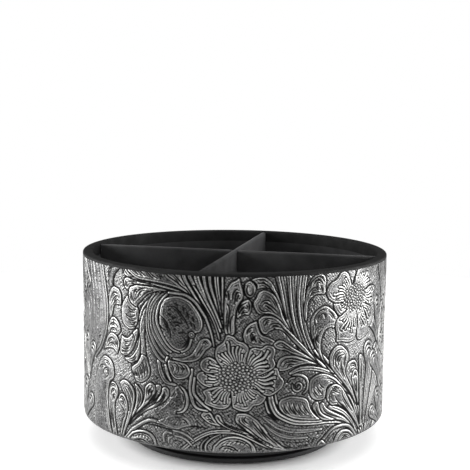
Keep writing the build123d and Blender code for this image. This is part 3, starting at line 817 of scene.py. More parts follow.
# Lobed leaf left of the scroll, with a feathered strand behind it
frond(
    [(-34.4, 76.6), (-39.4, 73), (-43.6, 67.6), (-46, 60), (-46.4, 53), (-45.8, 47), (-45.4, 41)],
    (1.2, 2, 3, 3.4, 3.4, 3.4, 3.6), feather=1.7,
)
frond([(-36, 75.8), (-41.6, 71.8), (-46, 66.6), (-48.2, 61)], (1.1, 1.5, 1.6, 1.2))
lobe(
    ((-52.9, 37.1), (-52.4, 35.1), (-51.4, 33.1), (-50.4, 31.2), (-48.9, 30.4), (-46.8, 30.4),
     (-44.7, 31.4), (-42.6, 33.1), (-41.5, 35.4), (-41.5, 38.2), (-42.4, 40.2), (-43.6, 43.6),
     (-46.6, 44.4), (-47.8, 42.4), (-49.4, 40), (-51.4, 38.6)),
    ((-49, 36.6), (-48.4, 34.4), (-47.4, 32.4)),
    ((-47.4, 38.4), (-46.6, 35.6), (-46, 32.8)),
    ((-45.7, 40.4), (-45, 37), (-44.6, 34)),
    ((-50.6, 35.8), (-49.8, 33.2)),
    ((-44, 41), (-43.2, 38), (-43, 35)),
)
lobe(
    ((-57.9, 41.2), (-56, 39.7), (-53.6, 39), (-51.2, 39.7), (-49.1, 41.2), (-47.8, 43.9), (-47.2, 46.5),
     (-47.2, 50), (-47.8, 54), (-48.6, 55), (-48.4, 51.6), (-49.4, 47.6), (-51.4, 44.4), (-54.2, 42)),
    ((-54.4, 40.9), (-51.8, 42), (-49.6, 44.6)),
    ((-52.6, 40.2), (-50.2, 41.8)),
)
lobe(
    ((-55.7, 72), (-57.4, 70.2), (-59, 67.9), (-59.8, 65.4), (-60, 62.3), (-59.5, 59.6), (-58.6, 57.6),
     (-56.4, 56.1), (-54, 55.4), (-51.6, 56), (-49.8, 57.8), (-48.6, 61), (-48.2, 64), (-48.8, 66.6),
     (-51.1, 67.3), (-53.1, 68.4), (-54.5, 70.3)),
    ((-54.2, 66.2), (-53.1, 65.2), (-51.6, 65.1), (-49.8, 66)),
    ((-56.6, 62.7), (-55, 61.7), (-53.1, 61.6), (-50.6, 62.8)),
    ((-54.6, 60.2), (-53.1, 59.8), (-51.6, 60.2), (-49.9, 61.4)),
    ((-53.4, 58), (-51.6, 58.2), (-50, 59.6)),
)
lobe(
    ((-54, 76.2), (-54.9, 74.5), (-55, 72), (-54.5, 70.3), (-53.1, 68.4), (-51.1, 67.3), (-49.5, 66.9),
     (-48.5, 68.6), (-46.8, 70.1), (-44.7, 72.2), (-42.6, 73.8), (-40, 75), (-36, 76), (-31, 76.2),
     (-36, 77.4), (-42, 77.8), (-47.2, 77.8), (-50, 77.7), (-52.1, 77)),
    ((-49.9, 72.8), (-49.1, 74.5), (-47.7, 75.6), (-45.6, 76.4), (-43, 77)),
    ((-48.6, 72.2), (-47.9, 73.8), (-46.2, 75)),
    ((-51, 73.6), (-50.4, 75), (-49.2, 75.8)),
    ((-46.6, 72), (-43.6, 74.6), (-39.6, 76)),
    ((-53.2, 73.4), (-52.6, 71), (-51.2, 69.2)),
)
lobe(
    ((-57, 80.4), (-58.1, 79.3), (-58.3, 77.9), (-57.9, 76.2), (-56.7, 74.9), (-55.2, 74.4), (-54, 76.2),
     (-52.1, 77.2), (-50, 77.9), (-47.2, 78), (-42, 78), (-36, 77.8), (-42, 78.8), (-48, 79.3),
     (-52, 79.9), (-55, 80.7)),
    ((-56.6, 78.8), (-56.2, 77.2), (-55.2, 76)),
    ((-54.6, 78.6), (-52.6, 79), (-49.4, 78.8)),
)
lobe(
    ((-59.6, 51.9), (-57.2, 51.2), (-55.4, 51.4), (-53.5, 52.9), (-51.6, 55), (-49.4, 56.6),
     (-48.5, 55.3), (-49.1, 52.4), (-50, 50), (-51.2, 47.2), (-53.1, 44.5), (-55.5, 42.7), (-57.9, 42.1),
     (-59.9, 42.6), (-61.1, 43.8), (-61, 46.7), (-60.3, 49.7)),
    ((-60, 46.2), (-58.4, 45.4), (-56.5, 45.4), (-54.2, 46.6)),
    ((-59.6, 44.1), (-57.5, 44.1), (-55, 44.7)),
    ((-57.4, 47.4), (-55.6, 47), (-53.6, 48)),
    ((-52.6, 54), (-51.2, 52.4), (-51, 50.4)),
    ((-58.6, 49.6), (-56.6, 49), (-54.6, 49.6)),
)

# Streaked border and scroll at the left edge, pressed lightly, and the lobes on its outside
for radius in (4.6, 9.2, 13.8):
    frond(arc(-103, 57, radius, -100, 100, 8), (2, 3, 3.2, 3, 2), lines=2, firm=0.3)
border = np.array(
    ((-77, 89), (-74.6, 80), (-72.4, 72), (-71, 64), (-71.4, 56), (-73.6, 49), (-77.6, 42.6), (-84, 37)),
)
for k in range(4):
    frond(border - (16 - 4.4 * k, 0.4 * k), (3, 3.4, 3.6, 3.4, 2.6), lines=2, firm=0.28)
frond(border, (1.8, 1.8, 1.8, 2, 1.8), firm=0.8)
frond([(-58.6, 90), (-63, 85.4), (-66.4, 82), (-67.9, 78), (-68, 72)], (4, 4, 4, 4, 3.4))
stroke(((-70.6, 79), (-70.2, 82), (-69.2, 83.4), (-67.8, 84.2), (-66, 84)))
hatch(((-72.4, 77), (-72.1, 75.8)), ((-69.65, 64), (-69.35, 62.8)), 6, 0.36)
lobe(
    ((-69.9, 63), (-69.8, 70), (-68.2, 73.4), (-66.4, 74.8), (-64.8, 75), (-61.4, 74), (-59.8, 71.3),
     (-59.7, 68), (-60.3, 66.4), (-63.1, 66.3), (-64.8, 65.8), (-65.7, 64.5), (-66.4, 62), (-67.6, 59.6),
     (-69, 59)),
    ((-68.5, 67), (-67.5, 70), (-66, 71.6), (-64.3, 72), (-62.8, 71.4)),
    ((-67.2, 66.4), (-66, 68.8), (-64.3, 70.2), (-62.8, 70.5), (-61.4, 69.6)),
    ((-66, 65.6), (-64.8, 67.6), (-63, 68.6), (-61.4, 68.2)),
)
lobe(
    ((-71, 53), (-69.9, 56.4), (-68.4, 58.8), (-66.5, 60), (-64.3, 59.6), (-62, 58), (-60.6, 55.8),
     (-60.3, 53.7), (-61.4, 52.4), (-62.8, 51.3), (-66, 50.6), (-69, 50)),
    ((-70, 53.6), (-68.8, 55.5), (-67.1, 56.6), (-65.4, 56.8), (-63.7, 56.2), (-62.2, 54.9)),
    ((-69, 52), (-67.4, 53.9), (-65.7, 54.5), (-64.3, 54), (-63, 52.8)),
    ((-67.4, 58), (-65.8, 58.6), (-63.8, 58)),
)
lobe(
    ((-75.3, 41.8), (-73.4, 44.6), (-72, 48.3), (-70.6, 50.3), (-68, 51.9), (-64.8, 51.6), (-62.6, 50),
     (-61.4, 47.3), (-61.7, 44.8), (-63.1, 41.7), (-64.8, 43.2), (-66.5, 43.9), (-69.5, 43.7),
     (-73, 42.7)),
    ((-71.9, 45), (-70.4, 47.5), (-68.8, 48.8), (-67.4, 49.3), (-65.4, 48.6)),
    ((-71, 44.6), (-69.5, 46), (-67.8, 46.6), (-66, 46.4), (-64, 45)),
    ((-63.6, 49.4), (-62.8, 47.4), (-63, 44.8)),
)
lobe(
    ((-84, -2), (-86, 6), (-85.6, 16), (-84, 25), (-81, 32), (-77, 37.5), (-73.5, 39.4), (-70, 38.8),
     (-67.7, 37.6), (-66.2, 35.8), (-65.6, 33.5), (-65.5, 30.6), (-66.6, 28.6), (-69, 27), (-70.4, 23),
     (-70.6, 16), (-69.6, 8), (-67, 0), (-66, -2)),
    ((-79.2, 31.8), (-77.7, 33.4), (-75.5, 34.2), (-73.5, 33.9)),
    ((-75.4, 29.4), (-74.5, 31.9), (-73.1, 33), (-71, 32.9), (-70.4, 31), (-71.5, 29.2), (-73.9, 27.6)),
    ((-73.6, 37), (-70.6, 36.6), (-68.4, 34.6)),
)
hatch(((-82.4, 26), (-83, 16), (-80.6, 3)), ((-72.4, 23), (-72.5, 16), (-70.1, 3)), 6, 0.26)

# Leaves at the lower left
lobe(
    ((-51.2, 29.7), (-48.5, 28.6), (-46.8, 26.9), (-46, 24.9), (-46.2, 22.1), (-47.2, 19.2), (-49, 17.2),
     (-52, 13), (-56, 7), (-57, 7.6), (-53.6, 13), (-51, 18), (-50, 23), (-50.4, 27)),
    ((-48.8, 27), (-47.3, 24.4), (-47.6, 21.2), (-49.6, 17.4)),
)
lobe(
    ((-61.4, 28), (-59.8, 29.5), (-58.4, 30.1), (-56, 30), (-53.6, 28.8), (-51.9, 27.1), (-50.9, 24.9),
     (-50.7, 22.1), (-51.6, 18), (-53.4, 12.4), (-56.4, 6), (-58.4, 2), (-59.8, 2), (-57, 10),
     (-55.4, 15), (-56, 18.6), (-57.4, 21.4), (-59, 24), (-60.2, 26)),
    ((-58.6, 26), (-57.2, 23.6), (-55.8, 20), (-54.6, 15)),
    ((-57.2, 26.4), (-54.6, 23), (-53.4, 18.6), (-54, 13.6)),
    ((-58, 28.4), (-54.8, 27.2), (-52.6, 24), (-52.4, 20)),
)
lobe(
    ((-62.6, 19.4), (-61.8, 21.6), (-60.3, 22.9), (-58.2, 22.8), (-56.4, 20.8), (-55.4, 17.8),
     (-55.6, 14), (-57.6, 9), (-60.4, 1), (-61.4, 1), (-59.4, 9), (-57.8, 12.4), (-58.4, 15), (-60, 16.4),
     (-62, 17.8)),
    ((-61.4, 19.6), (-60, 21.2), (-58.2, 20.6), (-57, 18)),
    ((-60.2, 18.4), (-58.8, 19), (-57.4, 16.6)),
)
lobe(
    ((-69.8, 24), (-68.6, 26.4), (-66.8, 27.5), (-64.3, 26.7), (-62.5, 24.5), (-62.3, 22.4),
     (-63.7, 19.4), (-65, 16.6), (-65, 10), (-63.4, 3), (-62.4, -2), (-66, -2), (-68, 6), (-70, 12),
     (-70.4, 18)),
    ((-69, 23.4), (-68.3, 25.4), (-66.5, 26.3), (-64.8, 25.8), (-63.7, 24.2)),
    ((-68.4, 20.2), (-67.4, 23), (-66.2, 23.9), (-64.8, 23.4), (-64, 21.9)),
    ((-66.7, 18), (-66.2, 20.4), (-64.9, 21.4)),
    ((-68.6, 17), (-67.8, 11), (-65.8, 4)),
    ((-67, 16), (-66.4, 10), (-64.8, 3)),
)

# Right lobed leaf, from the rim down
lobe(
    ((33.6, 66), (34.2, 72), (35.4, 78), (37, 81.6), (39.4, 84), (42.6, 84.8), (45.2, 83.6), (46.2, 81),
     (45.8, 78), (46, 75.4), (44.5, 74.4), (41.5, 74.8), (39, 74.1), (36.9, 72.4), (36, 70), (35.4, 62)),
    ((36.4, 79), (37.7, 81), (39.7, 82.6), (41.8, 83.2), (43.5, 82.6), (45, 80.4)),
    ((38.2, 79.2), (40.4, 81.2), (42.4, 81.4), (44, 79.6)),
    ((36.2, 75.8), (38.1, 77.6), (39.8, 78.1), (40.8, 77.2)),
    ((36.8, 74.4), (38.2, 75.8), (39.8, 75.6)),
    ((42.6, 79.2), (43.7, 77), (43.4, 75.4)),
)
lobe(
    ((45, 42.3), (43.2, 45), (40.9, 48.6), (39.1, 52.3), (38, 55.9), (37.5, 59.5), (37.5, 62.3),
     (38.6, 65), (40.9, 67.3), (44.1, 68.9), (46.8, 68.9), (49.5, 67.3), (52.3, 65), (54.1, 62), (53, 59),
     (50.9, 57.2), (50, 58), (47.7, 57.8), (45.5, 56.4), (44.1, 53.2), (43.6, 49.5), (44.5, 45.5),
     (47, 41), (53, 35), (50, 36.4)),
    ((41.1, 61.4), (42, 63.7), (43.6, 65.1), (45, 65), (45.7, 63.2)),
    ((39.9, 56), (40.8, 58.2), (42.5, 59.1), (43.9, 58.4)),
    ((42, 55.4), (41.3, 53.4), (42, 51.4)),
    ((39.2, 60.4), (40.2, 64.2), (43, 66.9), (46.6, 67)),
    ((47.4, 66.6), (50.2, 64.4), (52, 61.6)),
    ((41.6, 56.6), (40.4, 53), (41.6, 49)),
)
lobe(
    ((48.9, 41.6), (49.1, 44.5), (50.5, 46.8), (53.2, 48.6), (56.4, 48.6), (59.1, 46.9), (61.4, 44.5),
     (62.3, 41.8), (61, 38), (60.4, 34.6), (62, 31), (66, 25), (70, 16), (64, 23.6), (58, 30), (53, 35),
     (50, 38.6)),
    ((51.4, 38.8), (51.4, 42.9), (53, 45.4), (55.5, 46.5), (58, 46)),
    ((52.9, 38.6), (53, 42.2), (54.6, 44.4), (57.4, 45)),
    ((54.8, 38.4), (54.6, 41.6), (56, 43.4), (58.4, 43.6)),
    ((57.6, 41.6), (56.8, 38.6), (58, 35), (61, 30.6)),
    ((60, 43.6), (59.4, 40.6), (59, 37)),
)
frond([(78, 2), (85, 20), (90, 31), (90, 40)], (2, 5, 8.2, 10), arcs=2, lines=2)
frond([(76.5, 6), (79, 24), (81.4, 35), (79.4, 43)], (2, 5, 8.2, 9.4), arcs=2, lines=2)
lobe(
    ((70.4, 40), (71.4, 41.8), (73.4, 41.2), (74.8, 38), (75, 32), (74.6, 22), (74.4, 6), (73, 6),
     (72, 20), (71.4, 30), (70.8, 36)),
    ((72.6, 38.4), (73.4, 33), (73.4, 24)),
)
lobe(
    ((60.2, 34.5), (60.3, 36.7), (61.6, 39), (64.4, 39.9), (67.1, 39.8), (68.9, 38.1), (69.8, 35.8),
     (70.6, 32), (71, 26), (71.6, 18), (72.8, 6), (70, 17), (67, 23.6), (63.4, 29), (61, 32.4)),
    ((62, 35.4), (64, 37.8), (67, 37.6), (68.6, 34.6)),
    ((63, 33), (64.4, 35), (66.4, 35.8)),
)
lobe(
    ((64.8, 29.9), (65.3, 33.1), (67.1, 34.9), (69.4, 34), (70.6, 31.7), (70.8, 28.5), (70.9, 24),
     (71.4, 16), (69, 20.6), (66.6, 25.4)),
    ((66.2, 31.2), (67.5, 32.8), (69, 31.2)),
    ((66.6, 29.8), (67.5, 27.6), (68.9, 25), (69.8, 21)),
    ((68.6, 29.6), (69.4, 26), (70, 22)),
)

# Leaves at the lower right
lobe(
    ((37.3, 30.4), (37.7, 33.1), (38.6, 34.5), (40.9, 35.8), (44.1, 36.4), (47.7, 35.7), (50.9, 34.2),
     (54.1, 32.2), (58, 28.6), (64, 22.6), (57, 27.4), (53, 29.8), (49.4, 30), (47.6, 28.2), (47.2, 25.4),
     (46.4, 23.5), (44.1, 23.1), (41.4, 23.5), (39.1, 24.9), (37.7, 27.2)),
    ((39.6, 29.4), (41, 27.2), (42.8, 25.2)),
    ((41.4, 30.6), (43, 28.4), (44.8, 26.2)),
    ((43.4, 31.4), (44.7, 29.8), (46, 28.8)),
    ((47.6, 33.6), (51.4, 32.2), (56, 29)),
)
lobe(
    ((47.5, 25.2), (48.2, 28.1), (50.5, 29.6), (53.2, 30), (55.9, 29), (58.2, 27.2), (60.4, 24.4),
     (64, 19), (69, 12), (73, 3), (66, 11), (60, 16.4), (54.6, 19.2), (51.4, 19.4), (49.4, 21),
     (47.8, 23)),
    ((49.7, 21.4), (49.5, 24.4), (51, 27), (53.2, 26.2), (55.9, 25)),
    ((52.7, 24.5), (54.1, 22.2), (56.8, 19.5), (60.5, 16.7), (65, 12.4)),
    ((50.6, 28.4), (52, 27.6), (53.2, 28.6), (54.6, 27.4), (56, 27.6)),
    ((57.5, 25.8), (58.6, 22.6), (61.4, 19), (65.6, 14)),
)
lobe(
    ((43.6, 20.6), (44.6, 22), (46.2, 21.8), (47.6, 19.4), (50.4, 17.4), (55, 15), (61, 11.6), (68, 5),
     (60, 9.8), (54, 12), (48.6, 14.2), (45.4, 17)),
    ((45.4, 19.6), (46.8, 17.4), (50, 15.4), (56, 12.8)),
)
lobe(
    ((39.4, 21), (40.5, 22.6), (42.3, 23), (43.2, 21.7), (44.1, 18.5), (46, 16.3), (49, 14.6), (54, 12.2),
     (50, 12.2), (46, 13), (42.6, 15.4), (40.2, 18.6)),
    ((41.4, 20.8), (42, 18.4), (43.8, 15.8), (46.6, 14)),
)

# Half scrolls along the bottom edge
lobe(
    ((-8, -2), (-9.4, 3.2), (-7.9, 5.2), (-6, 7), (-3.2, 8.4), (0.2, 8.9), (3.4, 8.5), (6.8, 7.2),
     (9.1, 5.4), (10.7, 3.4), (11.4, 1), (11.6, -2)),
    ((-8, 3), (-6, 5.4), (-3.2, 6.9), (0.2, 7.4), (3.4, 7), (6.4, 5.6), (8.4, 3.6), (9.4, 0)),
    ((-6.6, 2.4), (-4, 3.8), (0, 3.2), (3.4, 0.6)),
)
for k in range(6):
    across0 = -5.4 + 2.1 * k
    bow = math.sin(0.6 * k)
    points = ((across0, 3.6 + 0.8 * bow), (across0 + 0.8, 4.8 + 0.8 * bow), (across0 + 2, 5.4 + 0.5 * bow))
    stroke(points, 0.34)
hatch(((-5, 0.4), (-4.2, 1.8), (-3.4, 2.4)), ((3, 0.4), (3.8, 1.8), (4.6, 2.4)), 6, 0.32)
lobe(
    ((-57.4, -2), (-54.2, 4), (-50, 6.6), (-46.5, 7.4), (-43.5, 7.4), (-40.3, 6.3), (-38.3, 4),
     (-37.7, 1), (-37.6, -2)),
    ((-55, 0), (-52.4, 3.4), (-49, 5.2), (-45.4, 5.8), (-42, 5), (-39.9, 2.8), (-39.5, 0)),
    ((-53.4, -0.8), (-50.6, 1.4), (-47.5, 2.4), (-45, 2.3), (-42.2, 0.8)),
)
for k in range(6):
    across0 = -52 + 1.8 * k
    up0 = 2.6 + 0.6 * math.sin(0.6 * k)
    stroke(((across0, up0), (across0 + 0.8, up0 + 1.2)), 0.34)
hatch(((-50, -0.6), (-49.4, 0.8)), ((-43, -0.6), (-42.4, 0.8)), 6, 0.32)
frond([(42, -1), (50, 6.6), (57, 8.4), (64.5, 6.4), (72, -2)], (2, 2, 2, 2, 1.8))
lobe(
    ((41.4, -2), (42.3, 0.8), (43.2, 2.6), (45.5, 3.6), (47.7, 1.7), (51, -2)),
    ((43, -0.6), (44.4, 1.6), (46.2, 1.4)),
)
lobe(
    ((53, -2), (53.6, 3.1), (55.9, 5.4), (59.5, 6.2), (64, 5), (68, 1.6), (70, -2)),
    ((55, -0.8), (56.2, 2.6), (59.4, 4.3), (63.6, 3.2), (67, 0)),
    ((57, -0.8), (58.4, 1.8), (61, 2.4), (64, 0.6)),
    ((59, -0.8), (60.4, 0.6), (62.4, -0.2)),
)

# The big scroll: a flat dark lobe inside, its thin bands and the spoon leaf at its end
lobe(
    ((-35.9, 70), (-33.6, 72.7), (-30, 74.1), (-25.5, 74.3), (-21.1, 72.6), (-18.9, 70.5), (-16.7, 67.7),
     (-15, 64.5), (-14.4, 62), (-14.7, 59.8), (-16, 57.9), (-18.2, 57), (-19.6, 53), (-21, 49.6),
     (-25, 47.4), (-30.9, 48), (-34.6, 53), (-36.6, 60)),
    ((-35, 68.6), (-32.4, 68.8), (-30, 69.3), (-28, 68.9), (-26.1, 67.2), (-24.2, 64.8), (-22.6, 62.4),
     (-21.2, 59)),
    ((-36.6, 64.8), (-34.4, 63.3), (-32.6, 61.3), (-31.5, 58.9), (-30.7, 57.1), (-30.4, 53)),
    ((-37, 60.8), (-35.2, 58.6), (-32.8, 57.2)),
    ((-36.6, 55), (-34.8, 53.6), (-32.6, 52.2)),
    ((-20.8, 55), (-21.6, 52), (-23.4, 49.4), (-26, 48.4)),
)
stain(
    ((-35, 67), (-33, 71.6), (-29, 73.4), (-24, 72.6), (-19.6, 69.4), (-16, 64), (-16.4, 59.6), (-19, 56),
     (-21.4, 50.6), (-26, 49), (-31, 50), (-34.6, 55), (-36.4, 61)),
    0.4,
)
inside_scroll = (
    ((-31.9, 67.2), (-31, 67.6), (-30.2, 67.2)),
    ((-29.8, 64.8), (-29, 63.6), (-28, 64.4), (-27.4, 63.6)),
    ((-31.2, 65.6), (-30.2, 65.2)),
    ((-29.2, 61.6), (-27.4, 62), (-25.6, 61.5), (-24.4, 62)),
    ((-28.4, 60), (-27, 60.6), (-25.6, 60)),
    ((-26.4, 57.2), (-25, 57), (-23.8, 57.6)),
    ((-29, 58.4), (-27.6, 58.8)),
    ((-24.6, 69.6), (-24, 68.4), (-23.8, 67)),
    ((-22.6, 67.4), (-21.8, 65.8), (-21.4, 63.8)),
    ((-19.8, 65), (-19.2, 63.9), (-19, 62.8)),
    ((-20.6, 62.8), (-20.1, 61.4), (-19.8, 60.2)),
    ((-18.9, 61.6), (-18.4, 60.2), (-18.2, 58.8)),
    ((-28.6, 70.9), (-27.4, 70.5), (-26.4, 69.6)),
    ((-21.4, 57.6), (-21.6, 54.2), (-23.4, 51), (-24.8, 49.8)),
)
for points in inside_scroll:
    stroke(points, 0.7)
hatch(((-36.6, 58.4), (-35.2, 56.7), (-33.4, 55.9)), ((-34.5, 49.4), (-33.1, 48), (-31, 47.5)), 7, 0.42)
hatch(((-35, 63.6), (-34, 63)), ((-32.6, 59.4), (-31.6, 58.8)), 7, 0.34)
for k in range(26):
    turn = 2.4 * k
    across0 = -26.6 + 6.8 * math.sqrt(k / 26) * math.cos(turn)
    up0 = 61 + 9.4 * math.sqrt(k / 26) * math.sin(turn)
    stroke(((across0 - 0.5, up0 + 0.4 * math.sin(turn)), (across0 + 0.5, up0 - 0.3)), 0.32)
bands = (
    ((-39, 74.6), (-41.6, 71.2), (-42.9, 67.6), (-43.6, 61.5), (-43.1, 56.3), (-41.7, 52), (-40, 48.2),
     (-37.8, 45), (-35.2, 42.8), (-33.2, 42.2)),
    ((-36.8, 74.6), (-39.7, 71.4), (-41.6, 67.4), (-42.3, 62), (-41.9, 57), (-40.5, 53), (-38.5, 49.4),
     (-36, 46.4), (-33.2, 44)),
    ((-34.6, 74.8), (-37.5, 72.2), (-39.6, 69), (-40.8, 65.6), (-41.1, 61.8), (-40.5, 57.8), (-39, 54.2),
     (-36.8, 51), (-34.4, 48.2), (-32, 46.2)),
    ((-32.6, 75.4), (-35.4, 72.8), (-38, 69.4), (-39.3, 65.6), (-39.6, 62), (-39.1, 58.6), (-37.6, 55.4),
     (-35.4, 52), (-33, 49.2), (-30.4, 47.4)),
)
for band in bands:
    frond(band, (1, 1.5, 1.9, 1.9, 1.7, 1.4), lines=1, firm=0.8)
frond(
    [(-31.2, 75.8), (-34.2, 73.2), (-36.4, 70.2), (-37.5, 67.2), (-38.1, 63.8), (-37.9, 60.9),
     (-36.9, 58.2), (-35, 54.8), (-32.6, 51.4), (-29.6, 48.8), (-26, 47.6)],
    (1.2, 1.6, 1.8, 1.8, 1.6, 1.2),
)
frond(
    [(-31.6, 75.6), (-26.5, 75.5), (-23.4, 75.1), (-20.4, 73.6), (-17.8, 71.4), (-15.2, 67.8),
     (-13.4, 65), (-11.9, 61.4), (-10.8, 58.2), (-9.9, 54.6), (-9.3, 51.6)],
    (1.4, 1.7, 1.9, 1.9, 1.8, 1.5, 1.2),
)
lobe(
    ((-30, 44.8), (-27.5, 45), (-24.7, 45.2), (-22.1, 46.2), (-20.2, 47.3), (-18.7, 49.3), (-17.2, 52),
     (-16, 54.2), (-14.1, 55.3), (-12.3, 55.3), (-10.8, 54.1), (-10.1, 52.4), (-11, 50.8), (-12.8, 49.6),
     (-13.5, 48.6), (-15, 46.3), (-16.5, 44.8), (-18.7, 43.7), (-21, 43.3), (-24, 43), (-27.4, 43.5),
     (-29.8, 44.1)),
    ((-14.8, 52.4), (-13.4, 53.6), (-12, 52.6)),
    ((-17.6, 46.8), (-15.8, 49.4), (-14.6, 51.4)),
)
frond([(-32.2, 44.6), (-32.9, 43)], (1.8, 1.6))
frond([(-20.1, 56.4), (-19.9, 56.4)], (3.2, 3.2))
for k in range(8):
    stroke(arc(-20, 56.4, 0.75, 45 * k, 45 * k + 60, 2), 0.36)

# Far sides: sprays, stems and scroll bands between the two halves of the pattern
frond([(84, -2), (96, 9), (108, 13), (121, 11), (133, 4), (141, -2)], (3, 3.4, 3.4, 3.2, 3, 2.6), lines=1)
frond([(91, 89), (97, 74), (99, 62), (96, 50), (90, 40)], (6, 5, 4.4, 3.6, 2), lines=1)
frond([(97, 89), (102, 75), (103, 63), (100.4, 54)], (5.6, 4.8, 4, 2), lines=1)
frond([(140, 89), (137, 76), (139.6, 64), (146, 54)], (5.6, 5, 4.2, 2.4), lines=1)
frond([(133, 89), (131.4, 77), (134, 66), (141, 56)], (5.6, 4.8, 4, 2), lines=1)
spray(118, 88, -90, 22, 3)
spray(150, 88, -92, 18, 3)
spray(92.4, 44, 98, 21, 3)
for across0, up0 in ((108.4, 18), (130.8, 18), (107.6, 57), (132.6, 55.6)):
    spray(across0, up0, 90, 10.4, 3)
spray(98, 20, 95, 24, 3)
spray(142, 20, 100, 23, 3)
spray(118, -4, 90, 24, 5)
spray(100, -2, 110, 20, 3)
spray(148, -2, 80, 22, 3)
spray(158, 24, 100, 20, 3)
frond(arc(101, 46, 7, 40, 330, 8), (2, 3.4, 3.6, 3.2, 4.4), lines=1)
frond(arc(143, 39, 6, -60, 220, 8), (2, 3, 3.4, 3, 4.4), lines=1)

# Main rose, facing front, and its mirrored twin on the far side
rose((1.8, 36.8))
rose((119.5, 44), mirror=-1)

# Rose under the rim, to the right
heart = (66.4, 70.6)
petal(
    ((66, 73), (73, 73), (81, 75), (86.4, 73.4), (88, 69.6), (85.6, 66), (80, 64.4), (72, 67)),
    heart, 5.4,
)
petal(((66, 70), (74, 67), (81, 64.4), (84, 60), (82.4, 55.6), (78, 54), (74, 57), (69, 64)), heart, 5.4)
petal(
    ((64, 72), (66, 81), (69, 85.6), (74, 86.6), (79, 85.4), (83.4, 82), (83, 78), (78, 75)),
    heart, 5.4,
)
petal(
    ((66, 71), (58, 71), (51.4, 70.4), (51, 67.6), (52.6, 65), (55, 63), (57.6, 63.4), (61, 66)),
    heart, 4.4,
)
petal(
    ((65, 72), (68.4, 60), (68, 51.4), (70, 49), (74, 49.4), (77.6, 51), (78.6, 55), (76, 60), (72, 67)),
    heart, 6.6,
)
petal(
    ((66, 72), (59, 65), (53.6, 62), (52, 58.6), (53, 54), (53, 50.6), (57, 50), (62, 49), (66, 50),
     (67.8, 54), (68, 60)),
    heart, 6.4,
)
petal(((66, 71), (64, 78), (66, 83), (63.6, 86), (60, 86), (59.4, 80)), heart, 5)
petal(
    ((66, 70), (58, 69.6), (52, 69.6), (47.6, 72), (46.2, 75.4), (48.2, 79.2), (52.6, 81.4), (55, 84),
     (57.4, 84.8), (60.4, 83.2), (62.6, 79)),
    heart, 5.6,
)
seeds(heart, 9.4, 6.8, 68)

# Matted ground: small square pits of the backgrounder, in diagonal rows that waver and are lighter
# between the pits, and low on the front fine lines that follow the shapes
row_pitch = unit_width / 155
waver = 0.36
line_pitch = 1.5
across, up = np.meshgrid(np.arange(columns) * cell_across, np.arange(rows + 1) * cell_up)
way_round = math.tau * across / unit_width
rising = across + up + waver * np.sin(1.7 * up + 2 * np.sin(33 * way_round))
falling = across - up + waver * np.sin(76 * way_round + 2 * np.sin(0.7 * up))
rows_of_pits = np.cos(math.tau * rising / row_pitch) + np.cos(math.tau * falling / row_pitch)
cut = np.maximum(cut, 0.58 * ground * np.clip(rows_of_pits, 0, 1))
front = np.where(across > unit_width / 2, across - unit_width, across)
lined = fade(front, -36, -28) * (1 - fade(front, 60, 66)) * (1 - fade(up, 34, 44)) * (clearance < 5)
follow = np.clip(1.4 * np.cos(math.tau * (clearance - line_pitch) / line_pitch), 0, 1)
follow *= fade(clearance, 0.6, 1.0)
cut = np.maximum(cut, 0.75 * ground * lined * follow)


def soften(field):
    """A pattern field averaged over its neighbours."""
    for axis in (0, 1):
        field = (np.roll(field, -1, axis) + field + np.roll(field, 1, axis)) / 3
    return field


# Lighter shoulders beside the cuts, partly rubbed wear and partly a painted highlight, and lighter ridges
# between the pits
shoulder = np.clip(3.4 * soften(soften(cut)) - 2.3 * cut - 0.42, 0, 1) * (1 - ground)
shoulder += 0.32 * ground * np.clip(-rows_of_pits, 0, 1)


def sample(field, across, up):
    """The value of a pattern field at places on the wall, between its four nearest cells."""
    column = across / cell_across
    row = np.clip(up / cell_up, 0, rows - 1e-6)
    left = np.floor(column).astype(int)
    low = np.floor(row).astype(int)
    right_share = column - left
    top_share = row - low
    right = (left + 1) % columns
    left = left % columns
    bottom = field[low, left] * (1 - right_share) + field[low, right] * right_share
    top = field[low + 1, left] * (1 - right_share) + field[low + 1, right] * right_share
    return bottom * (1 - top_share) + top * top_share


# Section of the leather, from its top edge down the outside, under the drum and up the inside
leather_thickness = 1.2
bottom_bend = 2.0
turn_under = 7.0
bend_across = drum_radius - bottom_bend
bend_up = wall_bottom + bottom_bend
rows_below = math.ceil(bottom_bend / cell_up)
section = [(drum_radius, wall_top)]
section += [(drum_radius, wall_bottom + k * cell_up) for k in range(rows - 1, rows_below, -1)]
section += arc(bend_across, bend_up, bottom_bend, 0, -90)
section.append((drum_radius - turn_under, wall_bottom))
section.append((drum_radius - turn_under, wall_bottom + leather_thickness))
section += arc(bend_across, bend_up, bottom_bend - leather_thickness, -90, 0, 3)
section.append((drum_radius - leather_thickness, wall_top))

leather, shader, place = surface("antiqued_embossed_leather", {"Metallic": 0.85, "IOR": 1.5})
wax = add(leather, "Attribute", {"attribute_name": "wax"}).outputs["Fac"]
burnish_and_highlight = add(leather, "Attribute", {"attribute_name": "burnish_and_highlight"}).outputs["Fac"]
matting = add(leather, "Attribute", {"attribute_name": "matting"}).outputs["Fac"]
grain = add(
    leather, "TexNoise", {"Scale": 1 / (0.7 * mm), "Detail": 3.0, "Roughness": 0.7}, {"Vector": place}
)
rub = add(leather, "TexNoise", {"Scale": 1 / (7 * mm), "Detail": 3.0, "Roughness": 0.6}, {"Vector": place})
worn = add(
    leather,
    "Mix",
    {"data_type": "FLOAT", "Factor": 0.7},
    {"A": rub.outputs["Fac"], "B": grain.outputs["Fac"]},
)
silver = add(
    leather,
    "ValToRGB",
    {"stops": ((0.43, "#1d1d1d"), (0.58, "#707070"))},
    {"Fac": worn.outputs["Result"]},
)
